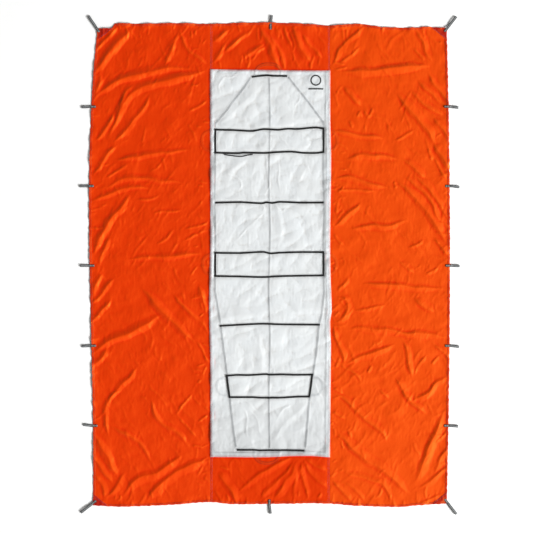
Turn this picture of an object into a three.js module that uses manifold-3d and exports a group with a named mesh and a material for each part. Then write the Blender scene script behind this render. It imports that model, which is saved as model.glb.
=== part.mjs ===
// A rescue bivy laid open on the ground: a 6 by 8 ft tarp with a white litter panel down its middle.
// The two side wings fold over the litter panel and wrap the person who lies on it.
// Webbing is sewn across the top of the litter panel and round its underside, where it forms the
// haul loops and handles. Guy-out tabs stand out of the hem all round.
//
// Millimetres. +Z is up and the ground is Z = 0. +Y points to the head end and +X to the right wing,
// seen from above. The origin is on the ground, at the middle of the litter panel.

import * as THREE from 'three';
import { mergeVertices } from 'three/addons/utils/BufferGeometryUtils.js';
import Module from 'manifold-3d';

const wasm = await Module();
wasm.setup();

// ---- driving dimensions ----
const GAP = 0.3; // between pieces that touch
const WEB_WIDTH = 9.5; // three-eighths inch webbing
const WEB_THICK = 1.2;
const PANEL_THICK = 1.0;
const HALF_LENGTH = 1222; // head hem to foot hem is about 8 ft
const HALF_LITTER = 305; // 2 ft wide litter panel
const LITTER_HEAD = 991; // the litter panel's head edge
const LITTER_FOOT = -978; // the litter panel's foot edge
const FOLD_X = 322; // the wings fold just outside the seams
const HEM_WIDTH = 12;
const TAB_Y = [801, 398, -6, -413, -819]; // side tabs, about 16 in apart
const TAB_WIDTH = 12;
const TAB_TAIL = 28; // sewn to the cloth
const HEAD_TAB_X = 6; // the head's middle tab is sewn a little off centre
const EDGE_TAB_FREE = 44; // stands out past the hem
const CORNER_TAB_FREE = 70;
const TAB_EYE_R = 4.2; // outside radius of the round end of a tab
const PATCH_LEG = 50; // corner reinforcement, along each hem
const PATCH_THICK = 0.5;
const SIDE_WEB_X = 277; // the webbing along each side of the litter panel, which the handles are sewn to

// heights, from the ground up
const UNDER_Z = GAP; // webbing under the cloth
const PANEL_Z = UNDER_Z + WEB_THICK + GAP;
const PANEL_TOP = PANEL_Z + PANEL_THICK;
const STRAP_Z = PANEL_TOP + GAP; // webbing on top of the cloth

// each wing: its side, its two outer corners, and the x of the two control points of the long
// hem that bows out between them
const WINGS = {
  left: { side: -1, head: [-880, 1204], foot: [-903, -1217], bow: [-965, -888] },
  right: { side: 1, head: [906, 1204], foot: [907, -1213], bow: [930, 925] },
};

// direction of each corner tab in degrees, anticlockwise from +X
const CORNER_TAB_ANGLES = {
  head_left: 124, head_right: 52, foot_left: 218, foot_right: 308,
};

// the webbing line round the underside of the right half, from head strap to foot strap
const PERIMETER = [[93, 950], [SIDE_WEB_X, 715], [SIDE_WEB_X, -130], [176, -928]];
const PERIMETER_NAMES = ['shoulder_webbing', 'side_webbing', 'leg_webbing'];
const SPINE = { width: 7, head: 948, foot: -930 };

// handles of the right half: where their two ends are sewn on, and how far they reach out
const SIDE_HANDLES = {
  chest_handle: { high: [SIDE_WEB_X, 680], low: [SIDE_WEB_X, 577], reach: 67 },
  hip_handle: { high: [SIDE_WEB_X, 52], low: [SIDE_WEB_X, -52], reach: 62 },
  shin_handle: { high: [221, -573], low: [209.5, -664], reach: 52 },
};
const END_LOOPS = {
  head_haul_loop: { halfWidth: 70, x: -5.5, y: 965, reach: 58 },
  foot_haul_loop: { halfWidth: 70, x: -13, y: -942, reach: -72 },
};

// straps across the top: [y, left end, right end]
const SINGLE_STRAPS = {
  head_strap: [958, -90, 90],
  rib_strap: [315, -275, 275],
  thigh_strap: [-308, -253, 256],
  foot_strap: [-942, -165, 177],
};

// closed strap boxes across the top: centre lines of the upper and the lower strap
const BOX_STRAPS = {
  chest_strap: { upper: [689, 279], lower: [568, 279] },
  hip_strap: { upper: [59.5, 279], lower: [-58.5, 279] },
  shin_strap: { upper: [-562, 222], lower: [-674, 206] },
};
const SLACK = { from: -230, to: -85, y: 559, sag: 9, width: 4.5 };

// ---- materials ----
const cloth = new THREE.MeshStandardMaterial({ color: 0xe24210, roughness: 0.5, metalness: 0 });
const patchCloth = new THREE.MeshStandardMaterial({ color: 0xc22a12, roughness: 0.6, metalness: 0 });
const laminate = new THREE.MeshStandardMaterial({ color: 0xe6e9eb, roughness: 0.45, metalness: 0 });
const blackWebbing = new THREE.MeshStandardMaterial({ color: 0x161415, roughness: 0.75, metalness: 0 });
const greyWebbing = new THREE.MeshStandardMaterial({ color: 0x6f706e, roughness: 0.6, metalness: 0 });

const bivy = new THREE.Group();

// ---- helpers ----

// an outline from a list of points
function polygon(points) {
  return new THREE.Shape(points.map(([x, y]) => new THREE.Vector2(x, y)));
}

// an upright extrusion of an outline that lies in the XY plane
function slab(shape, thickness, curveSegments = 12) {
  return new THREE.ExtrudeGeometry(shape, { depth: thickness, bevelEnabled: false, curveSegments });
}

function addMesh(name, geometry, material, x = 0, y = 0, z = 0, turn = 0) {
  const mesh = new THREE.Mesh(geometry, material);
  mesh.name = name;
  mesh.position.set(x, y, z);
  mesh.rotation.z = turn;
  bivy.add(mesh);
}

function toSolid(geometry) {
  const bare = geometry.clone();
  bare.deleteAttribute('normal');
  bare.deleteAttribute('uv');
  const merged = mergeVertices(bare, 1e-4);
  return new wasm.Manifold(new wasm.Mesh({
    numProp: 3,
    vertProperties: new Float32Array(merged.attributes.position.array),
    triVerts: new Uint32Array(merged.index.array),
  }));
}

function toGeometry(solid) {
  const mesh = solid.getMesh();
  const geometry = new THREE.BufferGeometry();
  geometry.setAttribute('position', new THREE.BufferAttribute(new Float32Array(mesh.vertProperties), 3));
  geometry.setIndex(new THREE.BufferAttribute(new Uint32Array(mesh.triVerts), 1));
  return geometry;
}

// a cloth panel whose hem is a thicker rim that reaches down to the ground
function hemmedPanel(outline, pocketOutline) {
  const full = toSolid(slab(outline, PANEL_TOP));
  const pocket = toSolid(slab(pocketOutline, PANEL_Z + 1).translate(0, 0, -1));
  return toGeometry(full.subtract(pocket));
}

// a flat strip of webbing along a straight line between two points
function strip(from, to, width, thickness) {
  const along = new THREE.Vector2(to[0] - from[0], to[1] - from[1]).normalize();
  const across = new THREE.Vector2(-along.y, along.x).multiplyScalar(width / 2);
  return slab(polygon([
    [from[0] + across.x, from[1] + across.y],
    [to[0] + across.x, to[1] + across.y],
    [to[0] - across.x, to[1] - across.y],
    [from[0] - across.x, from[1] - across.y],
  ]), thickness);
}

// ---- cloth panels ----

// A wing's long hem as a cubic curve whose y falls evenly from head to foot.
function longHem({ side, head, foot, bow }, inset) {
  const high = head[1] - inset;
  const low = foot[1] + inset;
  const xs = [head[0], ...bow, foot[0]];
  const points = xs.map((x, i) => new THREE.Vector2(x - side * inset, high + ((low - high) * i) / 3));
  return new THREE.CubicBezierCurve(...points);
}

// a wing's outline; inset moves the hems in and carries the fold side a little past the fold
function wingOutline(wing, inset) {
  const { side, head } = wing;
  const foldX = side * (FOLD_X - (inset > 0 ? 1 : 0));
  const shape = new THREE.Shape();
  shape.moveTo(foldX, HALF_LENGTH - inset);
  shape.lineTo(head[0] - side * inset, head[1] - inset);
  const { v1, v2, v3 } = longHem(wing, inset);
  shape.bezierCurveTo(v1.x, v1.y, v2.x, v2.y, v3.x, v3.y);
  shape.lineTo(foldX, -HALF_LENGTH + inset);
  shape.closePath();
  return shape;
}

function addWing(name, wing) {
  addMesh(`${name}_wing_panel`, hemmedPanel(wingOutline(wing, 0), wingOutline(wing, HEM_WIDTH)), cloth);
  // the wing's turned edge, which stays flat beside the litter panel inside the fold
  const inner = wing.side * (HALF_LITTER + GAP);
  const outer = wing.side * (FOLD_X - GAP);
  const seam = polygon([
    [inner, HALF_LENGTH], [outer, HALF_LENGTH], [outer, -HALF_LENGTH], [inner, -HALF_LENGTH],
  ]);
  addMesh(`${name}_wing_seam`, slab(seam, PANEL_THICK), cloth, 0, 0, PANEL_Z);
}

// the orange end panels between the wings, from the litter panel's edge to the hem
function endPanel(litterEdge, hemEdge) {
  const out = Math.sign(hemEdge);
  const box = (inset) => {
    const near = litterEdge + out * (inset > 0 ? -1 : GAP);
    const wide = HALF_LITTER + (inset > 0 ? 1 : 0);
    const far = hemEdge - out * inset;
    return polygon([[-wide, near], [wide, near], [wide, far], [-wide, far]]);
  };
  return hemmedPanel(box(0), box(HEM_WIDTH));
}

const litterOutline = polygon([
  [-HALF_LITTER, LITTER_FOOT], [HALF_LITTER, LITTER_FOOT],
  [HALF_LITTER, LITTER_HEAD], [-HALF_LITTER, LITTER_HEAD],
]);
addMesh('litter_panel', slab(litterOutline, PANEL_THICK), laminate, 0, 0, PANEL_Z);
addMesh('head_panel', endPanel(LITTER_HEAD, HALF_LENGTH), cloth);
addMesh('foot_panel', endPanel(LITTER_FOOT, -HALF_LENGTH), cloth);
addWing('left', WINGS.left);
addWing('right', WINGS.right);

// ---- corner patches ----
for (const [name, { side, head, foot }] of Object.entries(WINGS)) {
  for (const [end, corner, out] of [['head', head, 1], ['foot', foot, -1]]) {
    const x = corner[0] - side * 1.5;
    const y = corner[1] - out * 1.5;
    const patch = polygon([[x, y], [x - side * PATCH_LEG, y], [x, y - out * PATCH_LEG]]);
    addMesh(`${end}_${name}_corner_patch`, slab(patch, PATCH_THICK), patchCloth, 0, 0, STRAP_Z);
  }
}

// ---- guy-out tabs ----

// Side view of a tab: two layers sewn flat on the cloth, opening past the hem into an eye.
// x runs outwards from the hem and y is up, from the middle between the two layers.
function tabProfile(free) {
  const centre = free - TAB_EYE_R;
  const inner = TAB_EYE_R - WEB_THICK;
  const shape = new THREE.Shape();
  shape.moveTo(-TAB_TAIL, -WEB_THICK);
  shape.lineTo(0, -WEB_THICK);
  shape.bezierCurveTo(9, -WEB_THICK, 10, -TAB_EYE_R, 22, -TAB_EYE_R);
  shape.lineTo(centre, -TAB_EYE_R);
  shape.absarc(centre, 0, TAB_EYE_R, -Math.PI / 2, Math.PI / 2, false);
  shape.lineTo(22, TAB_EYE_R);
  shape.bezierCurveTo(10, TAB_EYE_R, 9, WEB_THICK, 0, WEB_THICK);
  shape.lineTo(-TAB_TAIL, WEB_THICK);
  shape.closePath();
  const eye = new THREE.Path();
  eye.moveTo(2, 0);
  eye.bezierCurveTo(10, -0.2, 11, -inner, 22, -inner);
  eye.lineTo(centre, -inner);
  eye.absarc(centre, 0, inner, -Math.PI / 2, Math.PI / 2, false);
  eye.lineTo(22, inner);
  eye.bezierCurveTo(11, inner, 10, 0.2, 2, 0);
  shape.holes.push(eye);
  return shape;
}

function addTab(name, free, x, y, z, turn) {
  const geometry = slab(tabProfile(free), TAB_WIDTH, 6);
  geometry.rotateX(Math.PI / 2);
  geometry.translate(0, TAB_WIDTH / 2, 0);
  addMesh(name, geometry, greyWebbing, x, y, z, turn);
}

// x of a wing's bowed long hem at a height y
function hemX(wing, y) {
  const t = (wing.head[1] - y) / (wing.head[1] - wing.foot[1]);
  return longHem(wing, 0).getPoint(t).x;
}

const EDGE_TAB_Z = STRAP_Z + WEB_THICK;
const CORNER_TAB_Z = EDGE_TAB_Z + PATCH_THICK + GAP;

for (const [name, wing] of Object.entries(WINGS)) {
  for (const [n, y] of TAB_Y.entries()) {
    const turn = wing.side > 0 ? 0 : Math.PI;
    addTab(`${name}_tab_${n + 1}`, EDGE_TAB_FREE, hemX(wing, y), y, EDGE_TAB_Z, turn);
  }
  for (const [end, corner] of [['head', wing.head], ['foot', wing.foot]]) {
    const turn = THREE.MathUtils.degToRad(CORNER_TAB_ANGLES[`${end}_${name}`]);
    addTab(`${end}_${name}_corner_tab`, CORNER_TAB_FREE, corner[0], corner[1], CORNER_TAB_Z, turn);
  }
}
addTab('head_centre_tab', EDGE_TAB_FREE, HEAD_TAB_X, HALF_LENGTH, EDGE_TAB_Z, Math.PI / 2);
addTab('foot_centre_tab', EDGE_TAB_FREE, 0, -HALF_LENGTH, EDGE_TAB_Z, -Math.PI / 2);

// ---- webbing under the cloth ----

// Flat strips along a bent line, mitred where they meet, with the gap between them.
function mitredRun(points, width) {
  const at = points.map(([x, y]) => new THREE.Vector2(x, y));
  const directions = at.slice(1).map((p, i) => p.clone().sub(at[i]).normalize());
  // the two end corners of a strip, where it meets the next direction, on both sides of the line
  const cut = (point, direction, other, shift) => {
    const bisector = direction.clone().add(other).normalize();
    const across = new THREE.Vector2(-bisector.y, bisector.x);
    const half = width / 2 / bisector.dot(direction);
    return [1, -1].map((s) => point.clone().addScaledVector(across, s * half)
      .addScaledVector(direction, shift));
  };
  return directions.map((direction, i) => {
    const before = directions[i - 1] ?? direction;
    const after = directions[i + 1] ?? direction;
    const [startLeft, startRight] = cut(at[i], direction, before, GAP / 2);
    const [endLeft, endRight] = cut(at[i + 1], direction, after, -GAP / 2);
    return new THREE.Shape([startLeft, endLeft, endRight, startRight]);
  });
}

for (const [name, { side }] of Object.entries(WINGS)) {
  const line = PERIMETER.map(([x, y]) => [side * x, y]);
  mitredRun(line, WEB_WIDTH).forEach((shape, i) => {
    addMesh(`${name}_${PERIMETER_NAMES[i]}`, slab(shape, WEB_THICK), blackWebbing, 0, 0, UNDER_Z);
  });
}
addMesh('spine_webbing', strip([0, SPINE.foot], [0, SPINE.head], SPINE.width, WEB_THICK),
  blackWebbing, 0, 0, UNDER_Z);

// Half of a flat oval of webbing from one sewn end to the other. x runs out from the line between
// the two ends, and y along it.
function loopOutline(halfWidth, reach) {
  const outer = [];
  const inner = [];
  const steps = 16;
  for (let i = 0; i <= steps; i++) {
    const angle = -Math.PI / 2 + (Math.PI * i) / steps;
    // a superellipse, squarer than an ellipse, as webbing folds at its corners
    const round = (v) => Math.sign(v) * Math.abs(v) ** 0.8;
    const c = round(Math.cos(angle));
    const s = round(Math.sin(angle));
    outer.push([reach * c, halfWidth * s]);
    inner.push([(reach - WEB_WIDTH) * c, (halfWidth - WEB_WIDTH) * s]);
  }
  return polygon([...outer, ...inner.reverse()]);
}

for (const [name, { side }] of Object.entries(WINGS)) {
  for (const [handle, { high, low, reach }] of Object.entries(SIDE_HANDLES)) {
    const start = WEB_WIDTH / 2 + GAP; // the outer edge of the webbing that the handle is sewn to
    const lean = Math.atan2(high[0] - low[0], high[1] - low[1]);
    const halfWidth = Math.hypot(high[0] - low[0], high[1] - low[1]) / 2 + WEB_WIDTH / 2;
    const shape = loopOutline(halfWidth, reach);
    const geometry = slab(shape, WEB_THICK).translate(start, 0, 0).rotateZ(-lean);
    const x = (high[0] + low[0]) / 2;
    const y = (high[1] + low[1]) / 2;
    if (side < 0) {
      geometry.rotateZ(2 * lean + Math.PI);
    }
    addMesh(`${name}_${handle}`, geometry, blackWebbing, side * x, y, UNDER_Z);
  }
}
for (const [name, { halfWidth, x, y, reach }] of Object.entries(END_LOOPS)) {
  const turn = (Math.PI / 2) * Math.sign(reach);
  addMesh(name, slab(loopOutline(halfWidth, Math.abs(reach)), WEB_THICK), blackWebbing,
    x, y, UNDER_Z, turn);
}

// ---- straps across the top ----

function addStrap(name, from, to) {
  addMesh(name, strip(from, to, WEB_WIDTH, WEB_THICK), blackWebbing, 0, 0, STRAP_Z);
}

for (const [name, [y, from, to]] of Object.entries(SINGLE_STRAPS)) {
  addStrap(name, [from, y], [to, y]);
}
for (const [name, { upper, lower }] of Object.entries(BOX_STRAPS)) {
  addStrap(`${name}_upper`, [-upper[1], upper[0]], [upper[1], upper[0]]);
  addStrap(`${name}_lower`, [-lower[1], lower[0]], [lower[1], lower[0]]);
  const clear = WEB_WIDTH / 2 + GAP;
  for (const [end, side] of [['left', -1], ['right', 1]]) {
    const inset = WEB_WIDTH / 2;
    addStrap(`${name}_${end}_end`,
      [side * (lower[1] - inset), lower[0] + clear + 1],
      [side * (upper[1] - inset), upper[0] - clear - 1]);
  }
}

// the loose strand of the lower chest strap, which sags towards the hips
const sagLine = [];
for (let i = 0; i <= 12; i++) {
  const t = i / 12;
  sagLine.push([
    THREE.MathUtils.lerp(SLACK.from, SLACK.to, t),
    SLACK.y - SLACK.sag * Math.sin(Math.PI * t ** 1.3) - SLACK.width / 2,
  ]);
}
const slackOutline = polygon([
  ...sagLine.map(([x, y]) => [x, y + SLACK.width / 2]),
  ...sagLine.map(([x, y]) => [x, y - SLACK.width / 2]).reverse(),
]);
addMesh('chest_strap_slack', slab(slackOutline, WEB_THICK), blackWebbing, 0, 0, STRAP_Z);

export default bivy;
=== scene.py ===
import math

import bmesh
import bpy
import numpy as np
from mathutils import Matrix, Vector


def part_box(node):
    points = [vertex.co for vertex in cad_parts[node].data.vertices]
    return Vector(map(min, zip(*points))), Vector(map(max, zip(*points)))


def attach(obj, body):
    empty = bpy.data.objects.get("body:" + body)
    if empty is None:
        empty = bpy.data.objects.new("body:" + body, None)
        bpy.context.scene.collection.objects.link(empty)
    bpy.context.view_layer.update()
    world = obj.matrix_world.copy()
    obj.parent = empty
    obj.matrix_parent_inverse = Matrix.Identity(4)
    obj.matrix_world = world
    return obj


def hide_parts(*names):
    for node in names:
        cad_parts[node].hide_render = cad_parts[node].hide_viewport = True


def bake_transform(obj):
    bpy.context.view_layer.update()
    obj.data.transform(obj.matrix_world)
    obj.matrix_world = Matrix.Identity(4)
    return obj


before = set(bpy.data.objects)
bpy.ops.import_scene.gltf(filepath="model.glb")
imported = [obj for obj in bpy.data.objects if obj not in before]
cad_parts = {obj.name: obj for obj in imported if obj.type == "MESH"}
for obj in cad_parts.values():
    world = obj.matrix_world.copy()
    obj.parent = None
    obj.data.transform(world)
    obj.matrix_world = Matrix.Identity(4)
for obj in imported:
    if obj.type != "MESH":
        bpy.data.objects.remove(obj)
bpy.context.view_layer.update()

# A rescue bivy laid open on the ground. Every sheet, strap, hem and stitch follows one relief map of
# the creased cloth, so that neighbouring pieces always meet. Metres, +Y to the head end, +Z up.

MM, CM = 0.001, 0.01
SIDES = (("left", -1), ("right", 1))  # with each one's sign along X
ENDS = (("head", 1), ("foot", -1))  # with each one's sign along Y

VIEW_CENTRE = (-0.0152, -0.0102)  # the point on the ground that the camera stands over
VIEW_WIDTH = 2.709
LENS_MM = 85
SENSOR_MM = 36


def linked(name, data):
    """A new object in the scene."""
    made = bpy.data.objects.new(name, data)
    bpy.context.scene.collection.objects.link(made)
    return made


def make_camera():
    """Straight above the bivy, with the head end at the top of the picture."""
    data = bpy.data.cameras.new("camera")
    data.lens = LENS_MM
    data.sensor_width = SENSOR_MM
    data.clip_end = 60
    camera = linked("camera", data)
    camera.location = (*VIEW_CENTRE, VIEW_WIDTH * LENS_MM / SENSOR_MM)
    bpy.context.scene.camera = camera


make_camera()

# ---------------------------------------------------------------- places, from the frame

LITTER_LOW, LITTER_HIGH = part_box("litter_panel")
LITTER_Y = (LITTER_LOW.y, LITTER_HIGH.y)
STRAP_LOW, STRAP_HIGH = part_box("rib_strap")
WEB_WIDTH = STRAP_HIGH.y - STRAP_LOW.y
WEB_THICK = STRAP_HIGH.z - STRAP_LOW.z
UNDER_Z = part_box("spine_webbing")[0].z
TAB_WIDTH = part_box("right_tab_1")[1].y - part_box("right_tab_1")[0].y
ALLOWANCE = 16 * MM  # orange cloth that runs on under the litter panel's edges
FELL = 21 * MM  # the litter panel's own edge, turned under

# the outlines below are keyed by the sign of their side or end
SIDE_SEAMS = {  # how far the litter panel's long edges stray outwards: (y, distance) in mm
    -1: [(-978, -4.5), (-500, -4.5), (-415, -2.4), (-204, 2), (60, -3.5), (150, -4.5), (991, -3)],
    1: [(-978, 1.5), (-754, 3.6), (-522, 5.7), (-415, 7), (-292, 2.7), (-229, 11), (-77, 5.7), (91, 2.7),
        (364, 5.7), (532, 7.8), (743, 3.6), (991, 3)],
}
END_SEAMS = {  # the litter panel's short edges: (x, y) in mm
    1: [(-330, 992), (-150, 989), (0, 987.5), (160, 985), (330, 985)],
    -1: [(-330, -977), (-37, -979), (120, -973), (185, -972), (330, -981)],
}
END_HEMS = {  # (x, y) in mm
    1: [(-990, 1199), (-870, 1199), (-801, 1199), (-785, 1225), (-640, 1223), (-480, 1226), (-294, 1222),
        (-168, 1227), (-33, 1229), (72, 1227), (220, 1220), (304, 1214), (450, 1222), (518, 1215),
        (577, 1205), (745, 1203), (790, 1207), (906, 1201), (990, 1201)],
    -1: [(-990, -1224), (-903, -1224), (-769, -1230), (-516, -1222), (-294, -1207), (-189, -1218),
         (38, -1216), (241, -1213), (299, -1215), (450, -1226), (661, -1232), (746, -1224), (910, -1215),
         (990, -1214)],
}


def cubic(start, end, slope_start, slope_end, step, t):
    """A curve between two values a step apart, with the slopes given there. t is the share of the way."""
    return (start * (1 + 2 * t) * (1 - t) ** 2 + end * t * t * (3 - 2 * t)
            + step * (slope_start * t * (1 - t) ** 2 - slope_end * t * t * (1 - t)))


def through(points):
    """A smooth function of x through points, and level beyond them, which never overshoots them.

    Millimetres in, metres out.
    """
    xs, ys = np.array(points, float).T * MM
    rise = np.diff(ys) / np.diff(xs)
    before, after = np.r_[rise[:1], rise], np.r_[rise, rise[-1:]]
    same_way = before * after > 0
    slopes = np.where(same_way, 2 * before * after / np.where(same_way, before + after, 1), 0)

    def value(x):
        x = np.clip(x, xs[0], xs[-1])
        i = np.clip(np.searchsorted(xs, x) - 1, 0, len(xs) - 2)
        step = xs[i + 1] - xs[i]
        return cubic(ys[i], ys[i + 1], slopes[i], slopes[i + 1], step, (x - xs[i]) / step)

    return value


def outline(node):
    """x and y of a CAD node's points."""
    return np.array([v.co[:2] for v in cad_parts[node].data.vertices])


def long_hem(wing, side):
    """x of a wing's bowed long hem as a function of y, from the CAD panel's outline."""
    x, y = outline(wing).T
    rows = np.unique(y.round(4))
    edge = np.array([(x[abs(y - row) < 2 * MM] * side).max() for row in rows])
    keep = edge > 0.85
    return np.poly1d(np.polyfit(rows[keep], side * edge[keep], 3))


def ruffled(line, phase):
    """The same line, gathered into short uneven scallops by its stitching."""
    def value(t):
        slow = 2.2 * np.sin(11 * t + phase)
        return line(t) + MM * (0.5 * np.sin(225 * t + slow + phase) + 0.7 * np.sin(142 * t - slow))

    return value


def side_seam(side):
    """x of a long edge of the litter panel as a function of y."""
    start = (LITTER_LOW if side < 0 else LITTER_HIGH).x
    stray = through(SIDE_SEAMS[side])
    return lambda y: start + side * stray(y)


# functions for the outlines, each with its side's or end's sign
HEM_X = {
    -1: ruffled(long_hem("left_wing_panel", -1), 2.9),
    1: ruffled(long_hem("right_wing_panel", 1), 4.2),
}
HEM_Y = {1: ruffled(through(END_HEMS[1]), 0.4), -1: ruffled(through(END_HEMS[-1]), 1.7)}
SEAM_X = {side: side_seam(side) for _, side in SIDES}
SEAM_Y = {out: through(END_SEAMS[out]) for _, out in ENDS}


def ends_of(node):
    """Both ends of a straight CAD strip's centre line, left to right, or else head to foot."""
    co = outline(node)
    middle = (co.min(0) + co.max(0)) / 2
    along = np.linalg.svd(co - co.mean(0))[2][0]
    along = along * (np.sign(along[0]) if abs(along[0]) > abs(along[1]) else -np.sign(along[1]))
    s = (co - middle) @ along
    return middle + along * s.min(), middle + along * s.max()


# ---------------------------------------------------------------- lines in the ground plane


def distance_along(line):
    """How far each point of a line is from its start, along it."""
    return np.r_[0, np.cumsum(np.linalg.norm(np.diff(line, axis=0), axis=1))]


def points_along(line, at):
    """The points of a line at distances from its start."""
    length = distance_along(line)
    return np.stack([np.interp(at, length, line[:, 0]), np.interp(at, length, line[:, 1])], -1)


def spline(points, step):
    """Points at even steps along a smooth curve through a few points. Metres."""
    p = np.array(points, float)
    if len(p) > 2:
        t = distance_along(p)
        fine = np.linspace(0, t[-1], 12 * len(p))
        tangent = np.gradient(p, t, axis=0)
        i = np.clip(np.searchsorted(t, fine) - 1, 0, len(t) - 2)
        gap = (t[i + 1] - t[i])[:, None]
        p = cubic(p[i], p[i + 1], tangent[i], tangent[i + 1], gap, (fine - t[i])[:, None] / gap)
    length = distance_along(p)[-1]
    return points_along(p, np.linspace(0, length, max(2, int(round(length / step)) + 1)))


def sideways(line):
    """Unit normals, to the left of a line's direction."""
    d = np.gradient(line, axis=0)
    d /= np.linalg.norm(d, axis=1)[:, None]
    return np.stack([-d[:, 1], d[:, 0]], 1)


def waved(node, waves):
    """A CAD strip's centre line, which strays to its left by (share of the way, mm)."""
    line = spline(ends_of(node), 5 * MM)
    stray = through([(1000 * share, mm) for share, mm in waves])(np.linspace(0, 1, len(line)))
    return line + sideways(line) * stray[:, None]


STRAP_WAVES = {
    "head_strap": [(0, -5), (0.18, -1), (0.43, 2.5), (0.6, -0.4), (1, -1.7)],
    "chest_strap_upper": [(0, -4), (0.14, -6), (0.22, -8), (0.335, -11), (0.457, -2), (0.577, -5),
                          (0.676, 0), (0.74, -1.5), (0.918, 5.7), (1, 0)],
    "chest_strap_lower": [(0, 0), (0.07, -1), (0.215, -2.7), (0.27, 0), (0.44, -2), (0.577, 2.4),
                          (0.69, 4.5), (0.82, -2), (0.91, -2.7), (1, 2.4)],
    "rib_strap": [(0, -1), (0.21, 1.6), (0.433, -4), (0.47, 0.4), (0.525, -2.6), (0.594, 2.5),
                  (0.82, -1.7), (1, -1)],
    "hip_strap_upper": [(0, 0), (0.215, -1.3), (0.44, 4.2), (0.517, -3.4), (0.59, 0), (0.82, 2.9),
                        (1, 2.1)],
    "hip_strap_lower": [(0, 0), (0.215, -2.1), (0.44, -5.5), (0.59, -1.3), (0.82, 1.2), (1, 2.1)],
    "thigh_strap": [(0, -3.4), (0.266, 3.8), (0.434, 7), (0.6, 3.8), (1, 1.6)],
    "shin_strap_upper": [(0, -2.7), (0.14, 1.5), (0.25, 0.5), (0.464, 5), (0.5, 2.3), (0.635, 3.6),
                         (0.8, 1.5), (1, 2.3)],
    "shin_strap_lower": [(0, 0.5), (0.28, 0.5), (0.42, -2.4), (0.6, -2.4), (0.9, 2.7), (1, 2.7)],
    "foot_strap": [(0, 1), (0.24, 1), (0.33, -2), (0.6, -1), (1, -3)],
}
strap_lines = {name: waved(name, waves) for name, waves in STRAP_WAVES.items()}
for box_name in ("chest_strap", "hip_strap", "shin_strap"):
    for side_name, side in SIDES:
        pick = 0 if side < 0 else -1
        inset = np.array([-side * WEB_WIDTH / 2, 0])
        top, low = (strap_lines[f"{box_name}_{part}"][pick] + inset for part in ("upper", "lower"))
        reach = np.array([0, WEB_WIDTH / 2 - 0.4 * MM])
        bow = np.array([side * 1.2 * MM, 0])
        strap_lines[f"{box_name}_{side_name}_end"] = spline(
            [top + reach, (top + low) / 2 + bow, low - reach], 5 * MM)

UNDER_WAVES = {
    "spine_webbing": [(0, 0), (0.12, 2.72), (0.27, -2.38), (0.42, 3.4), (0.58, -3.06), (0.71, 2.72),
                      (0.86, -2.55), (1, 0)],
    "left_shoulder_webbing": [(0, 0), (0.3, 5), (0.5, 4), (0.7, 6), (1, 1)],
    "left_side_webbing": [(0, 0), (0.2, 2), (0.45, -2), (0.7, 2.5), (1, 0)],
    "left_leg_webbing": [(0, 0), (0.1, 4), (0.23, 7), (0.5, 7.5), (0.68, 6), (0.85, 3.5), (1, 5)],
    "right_shoulder_webbing": [(0, 3), (0.3, 4), (0.5, 4.5), (0.7, 3), (1, 0)],
    "right_side_webbing": [(0, 0), (0.25, -2), (0.5, 2.2), (0.75, -2), (1, 0)],
    "right_leg_webbing": [(0, 2), (0.14, 5), (0.23, -1.5), (0.4, 1.6), (0.51, -1), (0.64, -3), (0.74, -3),
                          (0.85, 1.5), (1, 6)],
}
under_lines = {name: waved(name, waves) for name, waves in UNDER_WAVES.items()}

LOOP_POWER = 0.8  # below 1 the loop is squarer than an ellipse


def loop_line(middle, along, out, half_width, reach):
    """Half of a flat oval of webbing. along and out are unit vectors of its sewn side and its reach."""
    angle = np.linspace(-math.pi / 2, math.pi / 2, 41)
    c, s = np.cos(angle), np.sin(angle)
    c, s = abs(c) ** LOOP_POWER, np.sign(s) * abs(s) ** LOOP_POWER
    half = WEB_WIDTH / 2
    return np.array(middle) + np.outer((half_width - half) * s, along) + np.outer((reach - half) * c, out)


def handle_line(side_name, side, place):
    """A side handle, from its CAD solid's own outline."""
    seat = "leg" if place == "shin" else "side"
    head_end, foot_end = ends_of(f"{side_name}_{seat}_webbing")
    along = (head_end - foot_end) / np.linalg.norm(head_end - foot_end)
    out = side * np.array([along[1], -along[0]])
    co = outline(f"{side_name}_{place}_handle")
    s, r = co @ along, co @ out
    middle = along * (s.min() + s.max()) / 2 + out * r.min()
    return loop_line(middle, along, out, (s.max() - s.min()) / 2, r.max() - r.min())


for side_name, side in SIDES:
    for place in ("chest", "hip", "shin"):
        under_lines[f"{side_name}_{place}_handle"] = handle_line(side_name, side, place)
for end, out in ENDS:
    low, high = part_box(f"{end}_haul_loop")
    middle = ((low.x + high.x) / 2, low.y if out > 0 else high.y)
    half_width, reach = (high.x - low.x) / 2, high.y - low.y
    under_lines[f"{end}_haul_loop"] = loop_line(middle, (1, 0), (0, out), half_width, reach)

# ---------------------------------------------------------------- the relief map

CELL = 2.5 * MM
MAP_X = np.arange(-1.0, 1.0001, CELL)
MAP_Y = np.arange(-1.3, 1.3001, CELL)
GX, GY = np.meshgrid(MAP_X, MAP_Y)
FREQUENCY_X = np.fft.rfftfreq(len(MAP_X), CELL)[None, :]
FREQUENCY_Y = np.fft.fftfreq(len(MAP_Y), CELL)[:, None]
FLAT_Z = 0.8 * MM  # the cloth's lowest height above the ground
TALLEST = 13.5 * MM  # no wrinkle stands higher than this above that
UNDER_LIFT = 1.3 * MM  # of the cloth, by the webbing underneath
LITTER_STEP = 0.5 * MM  # of the litter panel above the orange cloth
HEM_LIFT = 4.5 * MM  # of the hems, in scallops
HEAD_HEM_LIFT = 2.5 * MM  # more of it at the head end
HEM_LIFT_REACH = 22 * MM


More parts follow.
